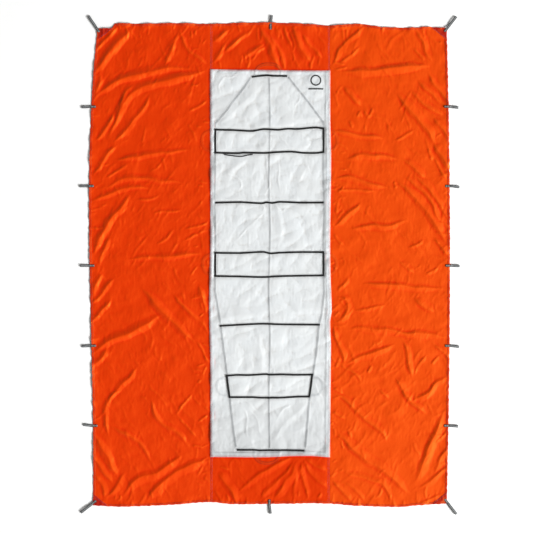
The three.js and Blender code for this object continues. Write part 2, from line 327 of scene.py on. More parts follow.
def noise(seed, across, along=None, angle=0.0, band=True):
    """A smooth random field with a spread of 1. Its bumps are across wide, and along long at an angle."""
    along = along or across
    spectrum = np.fft.rfft2(np.random.default_rng(seed).standard_normal(GX.shape))
    c, s = math.cos(math.radians(angle)), math.sin(math.radians(angle))
    r = np.hypot((FREQUENCY_X * c + FREQUENCY_Y * s) * along, (FREQUENCY_Y * c - FREQUENCY_X * s) * across)
    spectrum *= (r ** 1.5 if band else 1) * np.exp(-1.6 * r * r)
    field = np.fft.irfft2(spectrum, GX.shape)
    return field / field.std()


def blurred(field, size):
    spread = np.exp(-2 * (math.pi * size) ** 2 * (FREQUENCY_X ** 2 + FREQUENCY_Y ** 2))
    return np.fft.irfft2(np.fft.rfft2(field) * spread, GX.shape)


def smooth(x, low, high):
    t = np.clip((x - low) / (high - low), 0, 1)
    return t * t * (3 - 2 * t)


def window(line, margin):
    """The part of the map around a line, as slices."""
    lo, hi = line.min(0) - margin, line.max(0) + margin
    return (slice(*np.searchsorted(MAP_Y, (lo[1], hi[1]))), slice(*np.searchsorted(MAP_X, (lo[0], hi[0]))))


def distances(line, x, y):
    """Distance to a line, signed towards its left side, and the share of the way along it."""
    best = np.full(x.shape, 1e9)
    signed, share = np.zeros(x.shape), np.zeros(x.shape)
    total = len(line) - 1
    for n in range(total):
        a, d = line[n], line[n + 1] - line[n]
        t = np.clip(((x - a[0]) * d[0] + (y - a[1]) * d[1]) / (d @ d), 0, 1)
        ex, ey = x - a[0] - t * d[0], y - a[1] - t * d[1]
        far = ex * ex + ey * ey
        near = far < best
        best = np.where(near, far, best)
        signed = np.where(near, np.sign(ey * d[0] - ex * d[1]), signed)
        share = np.where(near, (n + t) / total, share)
    return np.sqrt(best), signed, share


def around(line, margin, thin):
    """The part of the map around a line, and its distance from every thin-th point of the line."""
    area = window(line, margin)
    return area, distances(line[::thin], GX[area], GY[area])[0]


# Crest lines of the orange cloth's folds: each row is one line's x and y in turn, in cm.
BIG_FOLDS = [
    [-39, 99, -56, 98, -68, 95, -81, 90, -90, 82],
    [-31, 98, -41, 95, -56, 91, -64, 89, -70, 85, -76, 74, -81, 64],
    [-68, 121, -77, 111, -83, 103, -89, 95], [-70, 35, -77, 26, -83, 17, -89, 4],
    [-53, -26, -58, -29, -68, -34, -81, -40, -90, -46], [-64, -11, -57, -19, -47, -29, -37, -39],
    [-44, -98, -56, -106, -68, -111, -73, -118], [-30, -100, -41, -103, -52, -110, -58, -116, -62, -121],
    [-89, -85, -83, -94, -76, -108], [37, 99, 54, 100, 70, 102, 82, 102],
    [63, 86, 70, 78, 77, 70, 83, 61], [82, 61, 86, 56, 90, 48],
    [65, 41, 69, 37, 75, 30, 81, 23, 85, 16, 88, 11],
    [32, -86, 37, -90, 43, -95, 48, -100, 56, -105, 62, -110, 71, -118],
    [88, -73, 85, -80, 83, -85, 80, -92, 76, -102, 72, -111],
    [15, -100, 13, -107, 9, -111, 6, -115, 3, -120],
    [-26, -105, -23, -108, -21, -111, -18, -115, -15, -122],
    [-4, 122, -2, 117, 1, 113, 2, 109, 4, 103, 6, 99], [14, 122, 15, 116, 17, 110, 20, 106, 22, 103],
]
MEDIUM_FOLDS = [
    [-76, 121, -82, 115, -88, 107], [-68, 91, -73, 86, -75, 78], [-45, 119, -39, 108, -31, 102],
    [-60, 87, -62, 81, -67, 74, -73, 67, -79, 61], [-78, 77, -83, 68, -88, 63],
    [-47, 113, -49, 107, -52, 101], [-85, 97, -86, 90, -88, 86], [-77, 60, -84, 53, -89, 45],
    [-80, 52, -68, 54, -56, 56, -40, 57], [-60, 38, -68, 39, -79, 36, -90, 31],
    [-83, 38, -75, 42, -66, 44, -56, 42, -43, 41], [-80, 14, -83, 8, -86, -1], [-73, 2, -56, 3, -34, 5],
    [-84, -5, -89, -14], [-78, -7, -82, -12, -88, -18, -91, -21], [-80, -18, -84, -23, -89, -30],
    [-49, -14, -42, -22, -33, -30, -30, -35], [-35, -10, -33, -18, -31, -25],
    [-82, -42, -84, -47, -89, -53], [-66, -52, -70, -58, -75, -62, -81, -69],
    [-75, -64, -80, -68, -83, -76, -81, -87], [-60, -68, -57, -76, -53, -81, -45, -86, -41, -92],
    [-80, -81, -70, -87, -63, -92, -60, -100], [-90, -95, -85, -103, -79, -111],
    [-89, -106, -84, -113, -83, -119], [-73, -106, -76, -112, -83, -119],
    [31, 101, 34, 108, 38, 114, 43, 118, 48, 122], [37, 90, 41, 85, 46, 80],
    [73, 120, 77, 112, 79, 106, 82, 102], [80, 97, 85, 89, 91, 82], [75, 93, 81, 87, 87, 81],
    [70, 88, 79, 80, 89, 75], [83, 74, 87, 68, 91, 63], [32, 69, 45, 67, 58, 65],
    [38, 54, 45, 56, 62, 55, 66, 54], [33, 45, 41, 45, 51, 42, 60, 40], [67, 53, 73, 49, 79, 43],
    [74, 45, 80, 38, 85, 31, 90, 23], [68, 45, 74, 40, 80, 33, 84, 25, 89, 18],
    [46, 32, 40, 27, 38, 25, 32, 20], [41, 19, 49, 20, 62, 21, 70, 23], [83, 13, 87, 8, 91, 4],
    [44, -9, 54, -9, 66, -10, 79, -11, 90, -12], [36, -16, 38, -19, 39, -22, 37, -26, 35, -28],
    [73, -18, 77, -21, 80, -23, 84, -25], [38, -32, 49, -31, 58, -32, 70, -34, 83, -35, 91, -36],
    [38, -50, 43, -47, 54, -44, 64, -39], [67, -39, 69, -44, 70, -52, 71, -58],
    [73, -69, 81, -63, 85, -59, 90, -56], [64, -58, 66, -62, 68, -66, 73, -71],
    [32, -31, 33, -39, 36, -45, 37, -50], [32, -66, 39, -70, 43, -74, 48, -79, 54, -84, 58, -89, 59, -92],
    [90, -92, 86, -98, 83, -106], [91, -101, 85, -106, 80, -110, 75, -113],
    [37, -105, 43, -108, 51, -111, 57, -113, 60, -118, 61, -121], [31, -110, 37, -116, 41, -121],
    [67, -64, 68, -67, 73, -72, 79, -76], [14, -99, 12, -103, 9, -107, 4, -111, 0, -115, -4, -120],
    [13, -98, 6, -101, 0, -105, -6, -108, -12, -113, -15, -116], [18, -99, 21, -105, 26, -110, 30, -114],
    [18, -98, 23, -101, 30, -105], [17, -100, 17, -107, 19, -113, 21, -119],
    [-20, 119, -24, 116, -28, 112], [-8, 119, -13, 116, -18, 111, -23, 107],
    [-21, 113, -24, 108, -28, 102], [-3, 112, -8, 108, -11, 106, -13, 104],
    [1, 118, 3, 113, 6, 108, 8, 103, 9, 99], [9, 122, 9, 118, 11, 113, 12, 110],
    [17, 118, 20, 113, 24, 109, 27, 105],
]
SMALL_FOLDS = [
    [-31, 83, -41, 77], [-84, 43, -78, 46, -71, 51], [-59, 25, -52, 27, -44, 27],
    [-68, 32, -60, 33, -55, 35], [-43, 17, -37, 19, -31, 21], [-57, 9, -51, 13, -48, 18],
    [-43, 12, -36, 15], [-37, -38, -33, -45, -30, -50], [-47, -76, -42, -82, -37, -88],
    [-39, -66, -44, -71, -47, -76], [-31, -76, -36, -81], [35, 103, 41, 107, 46, 111], [72, 110, 79, 103],
    [43, 75, 45, 78, 47, 75], [48, 79, 50, 76, 52, 80], [40, 73, 42, 69], [63, 64, 68, 66, 73, 69],
    [89, 109, 91, 103], [33, 38, 47, 38, 54, 38], [63, 43, 64, 38], [80, 60, 82, 52],
    [83, 54, 87, 47, 89, 43], [35, 33, 33, 26], [32, 16, 35, 11, 38, 9], [70, 9, 75, 11, 78, 13],
    [66, 1, 73, -5], [79, -4, 86, -2], [40, -6, 39, -9, 35, -12, 34, -14], [42, -23, 49, -22, 60, -20],
    [83, -41, 87, -44, 91, -49], [35, -46, 33, -53], [35, -50, 38, -53, 43, -56, 45, -61],
    [32, -63, 37, -66], [79, -46, 74, -52, 73, -56], [86, -46, 81, -51], [56, -63, 60, -69],
    [52, -50, 49, -55], [90, -84, 84, -91], [38, -110, 44, -116, 49, -121], [39, -83, 41, -89],
    [32, -75, 38, -79], [71, -121, 79, -120, 89, -116], [-2, 111, -6, 108, -9, 103],
    [5, 121, 6, 118, 7, 114], [11, 121, 12, 116, 13, 111, 12, 107], [23, 107, 22, 103, 22, 99],
    [-10, 106, -10, 102, -11, 99], [-28, -114, -26, -117, -24, -121], [-25, -103, -22, -104, -20, -105],
    [14, -108, 13, -113, 13, -119], [27, -116, 25, -119],
]
# by their height and half width in mm
FOLDS = {(9.6, 27): BIG_FOLDS, (6.0, 18): MEDIUM_FOLDS, (3.6, 11): SMALL_FOLDS}

# Creases of the litter panel, in the same way. Each line follows a crease's shaded flank.
BROAD_CREASES = [
    [-4, 94, -12, 85, -19, 79, -26, 73], [2, 72, 15, 75, 28, 76], [-9, 69, -4, 72, 0, 75],
    [-24, 47, -18, 51, -12, 55], [13, 43, 16, 48, 19, 52], [1, 30, 4, 21, 3, 10],
    [-8, -31, -6, -42, -5, -54], [-25, -26, -13, -24, -1, -26], [10, -23, 20, -21, 29, -23],
    [18, -69, 10, -76, 4, -83, 1, -90], [-17, -86, -14, -89, -8, -93], [19, 66, 17, 63, 19, 59],
    [-4, 66, -3, 63, -7, 59],
]
SHARP_CREASES = [
    [-22, 96, -26, 90, -25, 85], [-16, 98, -19, 96, -24, 95], [-23, 47, -17, 44, -15, 40, -17, 36],
    [-1, 56, -2, 47, -1, 40, -3, 35], [5, 54, 4, 44, 5, 36], [-18, 11, -11, 19, -3, 27, -1, 30],
    [-6, 30, -3, 29, -5, 26], [3, 30, 6, 27, 9, 29], [-17, -70, -12, -77, -12, -86, -7, -93],
    [-11, -74, -6, -81, -5, -87], [-2, 80, 0, 77, 1, 74], [12, 80, 15, 85, 15, 88],
    [23, -55, 26, -59, 29, -62], [22, -59, 24, -64, 27, -69], [4, 66, 8, 61, 10, 59],
    [12, -70, 6, -74, 2, -80],
]
CREASES = {(6.5, 32): BROAD_CREASES, (3.4, 7.5): SHARP_CREASES}

TOWARDS_LIGHT = np.array([0.91, -0.42])  # in the ground plane: to the right, and a little to the foot end
WANDER = [3.0 * MM * noise(seed, 0.08, band=False) for seed in (11, 12)]  # how far a fold's place strays


def add_fold(height, line, tall, wide, shift, lit, shaded):
    """Adds one fold along a line, which wanders a little and gets lower and narrower at its ends.

    shift moves the crest towards the light. lit and shaded are the widths of its two flanks.
    """
    line = spline(line, 12 * MM)
    normals = sideways(line)
    facing = np.sign(normals.mean(0) @ TOWARDS_LIGHT) or 1
    line = line + normals * (facing * shift)
    area = window(line, 1.6 * wide + 8 * MM)
    far, side, share = distances(line, GX[area] + WANDER[0][area], GY[area] + WANDER[1][area])
    fade = smooth(share, -0.03, 0.25) * smooth(1 - share, -0.03, 0.25)
    is_lit = side * facing > 0
    reach = np.where(is_lit, lit, shaded) * wide * (0.25 + 0.75 * fade)
    drop = np.clip(1 - far / reach, 0, 1)
    soft = drop * drop * (3 - 2 * drop)
    drop = np.where(is_lit, 0.9 * drop + 0.1 * soft, 0.5 * drop + 0.5 * drop ** 2)
    ripple = 1 + 0.18 * np.sin(share * 8 + line[0, 0] * 40)
    height[area] += tall * fade * ripple * drop


def flanks(x, y):
    """Widths of a fold's lit and shaded flanks. Those of the right wing and the foot end are steep."""
    return (1.4, 0.8) if x > 0.3 or y < -1.0 else (1.0, 1.1)


def scatter(height, seed, count, inside, angle, length, tall, wide):
    """Adds small folds at random places. tall and wide are in mm; inside and angle take a place."""
    draw = np.random.default_rng(seed)
    for _ in range(count):
        place = np.array([draw.uniform(-0.96, 0.96), draw.uniform(-1.26, 1.26)])
        turn, stretch, tallness = draw.normal(), draw.uniform(0.5, 1.6), draw.uniform(0.4, 1.3)
        bend = draw.normal() * 0.16
        if not inside(*place):
            continue
        way = math.radians(angle(*place, turn))
        half = np.array([math.cos(way), math.sin(way)]) * length * stretch / 2
        middle = place + np.array([-half[1], half[0]]) * bend
        add_fold(height, [place - half, middle, place + half], tall * MM * tallness,
                 wide * MM * (0.6 + 0.4 * stretch), 0, *flanks(*place))


def on_orange(x, y):
    return abs(x) > 0.32 or y > 1.0 or y < -0.99


def near_long_hem(x, y):
    return abs(x) > 0.84


def near_end_hem(x, y):
    return abs(y) > 1.16


def near_side_seam(x, y):
    return 0.31 < abs(x) < 0.38


def near_end_seam(x, y):
    return abs(x) < 0.31 and (0.985 < y < 1.05 or -1.04 < y < -0.975)


def on_white(x, y):
    return abs(x) < 0.30 and -0.97 < y < 0.985


def on_white_margin(x, y):
    return abs(x) > 0.2 and on_white(x, y)


def slant(x, y, turn):
    """The usual angle of the orange cloth's small folds: they lean outwards in each quarter."""
    lean = 52 if x * y < 0 else -52
    return (lean if abs(turn) < 0.9 else 88) + 16 * turn


def upright(x, y, turn):
    return 90 + 14 * turn


def level(x, y, turn):
    return 26 * turn


def gathered(x, y, turn):
    return 12 + 40 * turn


def any_way(x, y, turn):
    return 60 * turn


def orange_relief():
    """Folds and wrinkles of the thin orange cloth, in metres."""
    folds = np.zeros(GX.shape)
    for (tall, wide), rows in FOLDS.items():
        for row in rows:
            line = np.reshape(row, (-1, 2)) * CM
            shift = (0.45 if line[:, 0].mean() > 0.3 else -0.4) * wide * MM
            add_fold(folds, line, tall * MM, wide * MM, shift, *flanks(*line.mean(0)))
    scatter(folds, 61, 420, on_orange, slant, 0.100, 1.4, 10)
    scatter(folds, 62, 2400, on_orange, slant, 0.045, 0.7, 6)
    scatter(folds, 63, 700, near_long_hem, level, 0.055, 1.7, 8)
    scatter(folds, 64, 1300, near_end_hem, upright, 0.055, 2.9, 8)
    scatter(folds, 65, 1500, near_side_seam, gathered, 0.045, 2.6, 7)
    scatter(folds, 66, 1400, near_end_seam, upright, 0.040, 1.8, 6)
    folds += MM * (0.9 * noise(25, 0.12) + 0.26 * noise(26, 0.045) + 0.15 * noise(27, 0.014, 0.05, 88))
    return folds * (1 - 0.25 * smooth(-GY, 0.9, 1.1))


def laminate_relief():
    """The stiffer laminate: short upright wrinkles, and flat facets between sharp creases."""
    laminate = np.zeros(GX.shape)
    for (tall, wide), rows in CREASES.items():
        for row in rows:
            line = np.reshape(row, (-1, 2)) * CM
            add_fold(laminate, line, tall * MM, wide * MM, 0.5 * wide * MM, 0.8, 1.2)
    scatter(laminate, 71, 500, on_white, upright, 0.075, 0.7, 7)
    scatter(laminate, 72, 200, on_white, any_way, 0.11, 1.5, 9)
    scatter(laminate, 73, 900, on_white_margin, upright, 0.060, 0.9, 6)
    facets = sum(abs(noise(50 + n, 0.09 + 0.02 * n, 0.20, 25 + 38 * n)) for n in range(4)) / 4
    facets += 0.10 * sum(abs(noise(54 + n, 0.040, 0.09, 60 * n)) for n in range(3)) / 3
    return laminate + MM * (6.6 * facets + 0.06 * noise(44, 0.010) + 0.22 * noise(45, 0.014, 0.06, 88))


def webbing_relief():
    """Where straps hold the cloth down, where the webbing below lifts it, and that webbing's edges, where
    the nylon gets painted shade.
    """
    held, lifted, edges = np.zeros((3, *GX.shape))
    for line in strap_lines.values():
        area, far = around(line, 30 * MM, 3)
        held[area] = np.maximum(held[area], 1 - smooth(far, 6 * MM, 16 * MM))
    for name, line in under_lines.items():
        half = 3.5 * MM if name == "spine_webbing" else WEB_WIDTH / 2
        area, far = around(line, 20 * MM, 2 if "webbing" in name else 1)
        pressed = 0.3 if "shin_handle" in name else 1
        lifted[area] = np.maximum(lifted[area], pressed * (1 - smooth(far, half, half + 4 * MM)))
        # painted shade along the edges of the webbing under the cloth, fainter for the handles
        edge = np.exp(-(((far - half) / (1.9 * MM)) ** 2)) * (0.4 if "handle" in name else 1)
        edges[area] = np.maximum(edges[area], edge)
    return held, lifted, edges


def make_relief():
    """The height of the cloth's top face everywhere, and the maps of painted shade and highlight that the
    materials read.
    """
    inside_seams = [side * (SEAM_X[side](GY) - GX) for _, side in SIDES]
    inside_seams += [out * (SEAM_Y[out](GX) - GY) for _, out in ENDS]
    white = smooth(np.minimum.reduce(inside_seams), -4 * MM, 4 * MM)
    from_side_seam = np.minimum(abs(inside_seams[0]), abs(inside_seams[1]))
    inside_hems = np.minimum.reduce([side * (HEM_X[side](GY) - GX) for _, side in SIDES]
                                    + [out * (HEM_Y[out](GX) - GY) for _, out in ENDS])
    held, lifted, edges = webbing_relief()

    rough = orange_relief() * (1 - white) + laminate_relief() * white
    rough *= 1 - 0.5 * held * white
    rough *= 1 - 0.2 * np.exp(-((from_side_seam / (5 * MM)) ** 2))
    rough -= np.percentile(rough, 3)
    rough = 0.5 * (rough + np.sqrt(rough ** 2 + MM ** 2))
    rough /= (1 + (rough / TALLEST) ** 4) ** 0.25
    near_hem = np.exp(-np.maximum(inside_hems, 0) / HEM_LIFT_REACH)
    scallop = np.clip(0.5 + 0.4 * noise(28, 0.08) + 0.1 * noise(29, 0.04), 0, 1.2)
    lift = HEM_LIFT + HEAD_HEM_LIFT * smooth(GY, 1.1, 1.2)
    height = FLAT_Z + rough + UNDER_LIFT * lifted + LITTER_STEP * white + lift * near_hem * scallop
    # the materials paint shade in the creases and highlights on the crests by these maps
    crease_and_crest_shading = (blurred(height, 9 * MM) - height) / MM
    shape = (blurred(height, 3 * MM) - height) / MM
    return height, crease_and_crest_shading + 1.5 * shape, edges


RELIEF, CREASE_AND_CREST_SHADING, WEBBING_EDGE_SHADE = make_relief()


def sample(field, x, y):
    """A map's value at any points."""
    u = (np.asarray(x) - MAP_X[0]) / CELL
    v = (np.asarray(y) - MAP_Y[0]) / CELL
    j = np.clip(u.astype(int), 0, len(MAP_X) - 2)
    i = np.clip(v.astype(int), 0, len(MAP_Y) - 2)
    u, v = u - j, v - i
    return ((field[i, j] * (1 - u) + field[i, j + 1] * u) * (1 - v)
            + (field[i + 1, j] * (1 - u) + field[i + 1, j + 1] * u) * v)


def height_at(x, y):
    return sample(RELIEF, x, y)


# ---------------------------------------------------------------- meshes

FOLD_LINES = {  # where a wing bends when it folds over
    -1: ("left_wing", (-0.306, 0, 0), (-0.338, 0, 0)),
    1: ("right_wing", (0.302, 0, 0), (0.368, 0, 0)),
}


def declare(piece, on="litter", replaced=()):
    """Gives a piece its body, if it has one, and hides the CAD nodes that it replaces.

    on is a body, or a side's sign for a piece that lies across that side's fold, which is only baked in
    place, with no body.
    """
    if on in FOLD_LINES:
        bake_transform(piece)
    else:
        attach(piece, on)
    if replaced:
        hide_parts(*replaced)
    return piece


def new_piece(name, verts, faces, material, uv=None, smooth_shading=True, fields=True):
    """A mesh piece. uv holds a pair for each vertex; fields keeps the cloth's maps of painted shade and
    highlight with its vertices.
    """
    verts = np.asarray(verts, float)
    mesh = bpy.data.meshes.new(name)
    mesh.from_pydata(verts.tolist(), [], [list(map(int, f)) for f in faces])
    mesh.update()
    mesh.polygons.foreach_set("use_smooth", [smooth_shading] * len(mesh.polygons))
    if uv is not None:
        layer = mesh.uv_layers.new(name="weave")
        index = np.zeros(len(mesh.loops), int)
        mesh.loops.foreach_get("vertex_index", index)
        layer.data.foreach_set("uv", np.asarray(uv, np.float32)[index].ravel())
    if fields:
        for label, field in (("crease_and_crest_shading", CREASE_AND_CREST_SHADING), ("showing", WEBBING_EDGE_SHADE)):
            attribute = mesh.attributes.new(label, "FLOAT", "POINT")
            attribute.data.foreach_set("value", sample(field, verts[:, 0], verts[:, 1]).astype(np.float32))
    mesh.materials.append(material)
    return linked(name, mesh)


def grid_faces(rows, columns, closed=False, start=0):
    """Quads of a grid of rows by columns; closed joins the last column to the first."""
    i = np.arange(rows - 1)[:, None]
    j = np.arange(columns if closed else columns - 1)[None, :]
    k = (j + 1) % columns
    faces = np.stack([i * columns + j, i * columns + k, (i + 1) * columns + k, (i + 1) * columns + j], -1)
    return faces.reshape(-1, 4) + start


def tube(name, rings, across, along, material, inside_out=False, fields=False):
    """A closed skin over rows of rings, capped at both ends. across and along make its uv."""
    rows, columns = rings.shape[:2]
    faces = grid_faces(rows, columns, closed=True).tolist()
    faces += [list(range(columns))[::-1], list(range((rows - 1) * columns, rows * columns))]
    if inside_out:
        faces = [face[::-1] for face in faces]
    uv = np.stack(np.broadcast_arrays(across[None, :], along[:, None]), -1).reshape(-1, 2)
    return new_piece(name, rings.reshape(-1, 3), faces, material, uv, fields=fields)


def merged(piece, distance=0.02 * MM):
    """Joins points that lie together, as where a mitre comes to one point."""
    bm = bmesh.new()
    bm.from_mesh(piece.data)
    bmesh.ops.remove_doubles(bm, verts=bm.verts, dist=distance)
    bmesh.ops.dissolve_degenerate(bm, edges=bm.edges, dist=distance)
    bm.to_mesh(piece.data)
    bm.free()
    return piece


def even(start, end, step):
    return np.linspace(start, end, int(round(abs(end - start) / step)) + 1)


# a strip of webbing in section: across and up, as shares of its width and thickness
WEB_SECTION = np.array([
    (-0.50, 0.30), (-0.50, 0.75), (-0.47, 1.00), (-0.41, 1.04), (-0.35, 0.95), (-0.18, 1.00), (0, 1.02),
    (0.18, 1.00), (0.35, 0.95), (0.41, 1.04), (0.47, 1.00), (0.50, 0.75), (0.50, 0.30), (0.46, 0.02),
    (0, 0), (-0.46, 0.02)])


def ribbon(name, line, width, thick, material, underside=None, rise=0):
    """Webbing along a line in the ground plane, on the cloth or at the height of its underside."""
    normals = sideways(line)
    if underside is None:
        spots = line[None] + np.linspace(-0.5, 0.5, 5)[:, None, None] * width * normals[None]
        base = height_at(spots[..., 0], spots[..., 1]).max(0)
        padded = np.pad(base, 3, mode="edge")
        soft = sum(padded[k:k + len(base)] for k in range(7)) / 7
        base = np.maximum(base, soft) + 0.15 * MM + rise
    else:
        base = np.full(len(line), underside)
    side, up = WEB_SECTION.T
    xy = line[:, None, :] + normals[:, None, :] * (side * width)[None, :, None]
    z = base[:, None] + up[None, :] * thick
    rings = np.concatenate([xy, z[..., None]], -1)
    return tube(name, rings, side * width, distance_along(line), material, inside_out=True)


# a stitch: rings of thread by the share of its length, their size, and their lift in radii
STITCH_RING = np.array([(0, 1), (1, 0), (0, -0.6), (-1, 0)], float)
STITCH_RINGS = ((0, 0.25, -0.5), (0.22, 0.95, 0.35), (0.5, 1, 0.6), (0.78, 0.95, 0.35), (1, 0.25, -0.5))


def stitches(name, starts, ends, heights, radius, material):
    """Short lengths of thread from each start to each end, which dip into the cloth at both ends."""
    way = ends - starts
    unit = way / np.linalg.norm(way, axis=1)[:, None]
    across = np.stack([-unit[:, 1], unit[:, 0]], 1)
    rings = []
    for share, size, lift in STITCH_RINGS:
        xy = (starts + way * share)[:, None] + across[:, None] * (STITCH_RING[None, :, :1] * radius * size)
        z = heights[:, None] + (STITCH_RING[None, :, 1] * size + lift) * radius
        rings.append(np.concatenate([xy, z[..., None]], -1))
    verts = np.stack(rings, 1).reshape(-1, 3)
    rows, columns = len(STITCH_RINGS), len(STITCH_RING)
    total = rows * columns
    one = grid_faces(rows, columns, closed=True)[:, ::-1].tolist()
    one += [list(range(columns)), list(range(total - columns, total))[::-1]]
    faces = [[v + total * n for v in f] for n in range(len(starts)) for f in one]
    return new_piece(name, verts, faces, material, fields=False)


# ---------------------------------------------------------------- materials


class Nodes:
    """The nodes of a material or a world, and short ways to add them."""

    def __init__(self, owner):
        owner.use_nodes = True
        self.owner = owner
        self.tree = owner.node_tree

    def feed(self, made, links):
        """Links a source to each of a node's inputs, or sets the input's value."""
        for socket, source in links:
            if isinstance(source, bpy.types.NodeSocket):
                self.tree.links.new(source, made.inputs[socket])
            else:
                made.inputs[socket].default_value = source
        return made

    def node(self, kind, links=(), **settings):
        """A new node. Settings are its properties; a link is an input and what feeds it."""
        made = self.tree.nodes.new(kind)
        for key, value in settings.items():
            setattr(made, key, value)
        return self.feed(made, links)

    def uv(self):
        return self.node("ShaderNodeUVMap", uv_map="weave").outputs["UV"]

    def place(self):
        return self.node("ShaderNodeTexCoord").outputs["Object"]

    def field(self, name):
        """One of the cloth's own maps."""
        made = self.node("ShaderNodeAttribute", attribute_name=name, attribute_type="GEOMETRY")
        return made.outputs["Fac"]

    def bands(self, vector, pitch, direction):
        """Even bands of a pitch in metres, from 0 to 1."""
        links = [("Vector", vector), ("Scale", math.pi / 10 / pitch)]
        return self.node("ShaderNodeTexWave", links, wave_type="BANDS", bands_direction=direction,
                         wave_profile="SIN").outputs["Fac"]

    def grain(self, vector, size, detail=2.0, roughness=0.5, distortion=0.0):
        return self.node("ShaderNodeTexNoise", [
            ("Vector", vector), ("Scale", 1 / size), ("Detail", detail), ("Roughness", roughness),
            ("Distortion", distortion)]).outputs["Fac"]

    def math(self, operation, *values):
        return self.node("ShaderNodeMath", enumerate(values), operation=operation).outputs[0]

    def times(self, a, b):
        return self.math("MULTIPLY", a, b)

    def plus(self, a, b):
        return self.math("ADD", a, b)

    def ranged(self, value, low, high, new_low=0.0, new_high=1.0):
        return self.node("ShaderNodeMapRange", [
            ("Value", value), ("From Min", low), ("From Max", high), ("To Min", new_low),
            ("To Max", new_high)], clamp=True).outputs["Result"]

    def mixed(self, factor, a, b):
        """A mix of two colours, each a source or red, green and blue."""
        a, b = ((*c, 1) if isinstance(c, tuple) else c for c in (a, b))
        return self.node("ShaderNodeMix", [(0, factor), (6, a), (7, b)], data_type="RGBA").outputs[2]

    def bump(self, height, distance, strength, below=None):
        links = [("Height", height), ("Distance", distance), ("Strength", strength)]
        links += [("Normal", below)] if below else []
        return self.node("ShaderNodeBump", links).outputs["Normal"]

    def surface(self, **inputs):
        """Feeds the Principled shader's inputs, named with _ for a space, and gives the material."""
        links = [(name.replace("_", " "), source) for name, source in inputs.items()]
        self.feed(self.tree.nodes["Principled BSDF"], links)
        return self.owner


def new_looks(name):
    return Nodes(bpy.data.materials.new(name))


RIPSTOP_PITCH = 4.2 * MM
NYLON_PITCH = 0.42 * MM
NYLON_TINT = (1, 0.78, 0.08, 1)  # of its highlights
# painted shade: the nylon's colour along the edges of the webbing under it
WEBBING_EDGE_SHADE_COLOUR = (0.12, 0.010, 0.012)  # the cloth's colour along the edges of the webbing under it


def nylon(name, valley_shade_and_grid, flat, crest, showing=True, gloss=0.84, rough_low=0.51):
    """Thin coated ripstop nylon: painted shade that makes it darker and redder in the valleys, a painted
    highlight that makes it more orange on the crests, and a grid of thicker threads.
    """
    s = new_looks(name)
    uv = s.uv()
    crease_and_crest_shading = s.field("crease_and_crest_shading")
    # painted shade in the folds' valleys, and a painted highlight on their crests, from the crease map
    low = s.mixed(s.ranged(crease_and_crest_shading, 0.1, 2.6), flat, valley_shade_and_grid)
    colour = s.mixed(s.ranged(crease_and_crest_shading, -0.1, -2.4), low, crest)
    mottle = s.grain(uv, 0.16, 4, 0.6)
    colour = s.mixed(s.ranged(mottle, 0.3, 0.75, 0.0, 0.10), colour, valley_shade_and_grid)
    grid = s.math("MAXIMUM", *(s.ranged(s.bands(uv, RIPSTOP_PITCH, way), 0.93, 1) for way in "XY"))
    colour = s.mixed(s.times(grid, 0.16), colour, valley_shade_and_grid)
    # painted shade along the edges of the webbing under the cloth
    if showing:
        colour = s.mixed(s.times(s.field("showing"), 0.8), colour, WEBBING_EDGE_SHADE_COLOUR)
    rough = s.ranged(s.grain(uv, 0.03, 3), 0.25, 0.75, rough_low, rough_low + 0.06)
    threads = s.plus(*(s.bands(uv, NYLON_PITCH, way) for way in "XY"))
    fine = s.bump(s.plus(s.times(threads, 0.3), grid), 0.05 * MM, 0.6)
    crinkle = s.bump(s.grain(uv, 0.012, 3, 0.5, 0.6), 0.9 * MM, 0.4, fine)
    return s.surface(Base_Color=colour, Roughness=rough, Normal=crinkle, Specular_IOR_Level=gloss,
                     Specular_Tint=NYLON_TINT)


def laminate_looks(name, alpha, painted_light_gain=1.0):
    """Translucent white laminate with a loose fibre pattern between two films, painted shade in its
    creases and a painted highlight on its crests.
    """
    s = new_looks(name)

    # the gain brightens a copy of the laminate as painted light
    def white(*colour):
        return tuple(min(1, painted_light_gain * c) for c in colour)

    uv = s.uv()
    crease_and_crest_shading = s.field("crease_and_crest_shading")
    cloud = s.grain(uv, 0.13, 4, 0.6, 0.4)
    colour = s.mixed(s.ranged(cloud, 0.35, 0.7), white(0.71, 0.745, 0.765), white(0.69, 0.71, 0.715))
    # painted shade: beige grey in the creases; painted highlight: whiter on the crests
    colour = s.mixed(s.ranged(crease_and_crest_shading, 0.25, 1.6, 0, 0.6), colour, white(0.56, 0.55, 0.53))
    colour = s.mixed(s.ranged(crease_and_crest_shading, -0.1, -1.3, 0, 0.6), colour, white(0.75, 0.77, 0.775))
    stretch = s.node("ShaderNodeMapping", [("Vector", uv), ("Scale", (1, 0.16, 1))]).outputs["Vector"]
    fibres = s.grain(stretch, 0.0028, 3, 0.6)
    colour = s.mixed(s.ranged(fibres, 0.45, 0.75, 0, 0.2), colour, white(0.62, 0.645, 0.66))
    along = s.node("ShaderNodeSeparateXYZ", [("Vector", uv)]).outputs["Y"]
    # darker towards the foot end of the panel
    darker_towards_foot = s.ranged(along, -0.66, -0.86, 0, 0.9)
    colour = s.mixed(darker_towards_foot, colour, white(0.56, 0.58, 0.59))
    rough = s.ranged(s.grain(uv, 0.02, 3), 0.3, 0.7, 0.42, 0.6)
    crinkle = s.bump(s.grain(uv, 0.011, 4, 0.6, 1.0), 0.8 * MM, 0.4)
    crumple = s.node("ShaderNodeTexVoronoi", [("Vector", uv), ("Scale", 1 / 0.06), ("Detail", 0.5)],
                     feature="DISTANCE_TO_EDGE").outputs["Distance"]
    crinkle = s.bump(crumple, 7.0 * MM, 0.35, crinkle)
    return s.surface(Base_Color=colour, Roughness=rough, Normal=s.bump(fibres, 0.08 * MM, 0.5, crinkle),
                     Specular_IOR_Level=0.35, Alpha=alpha)


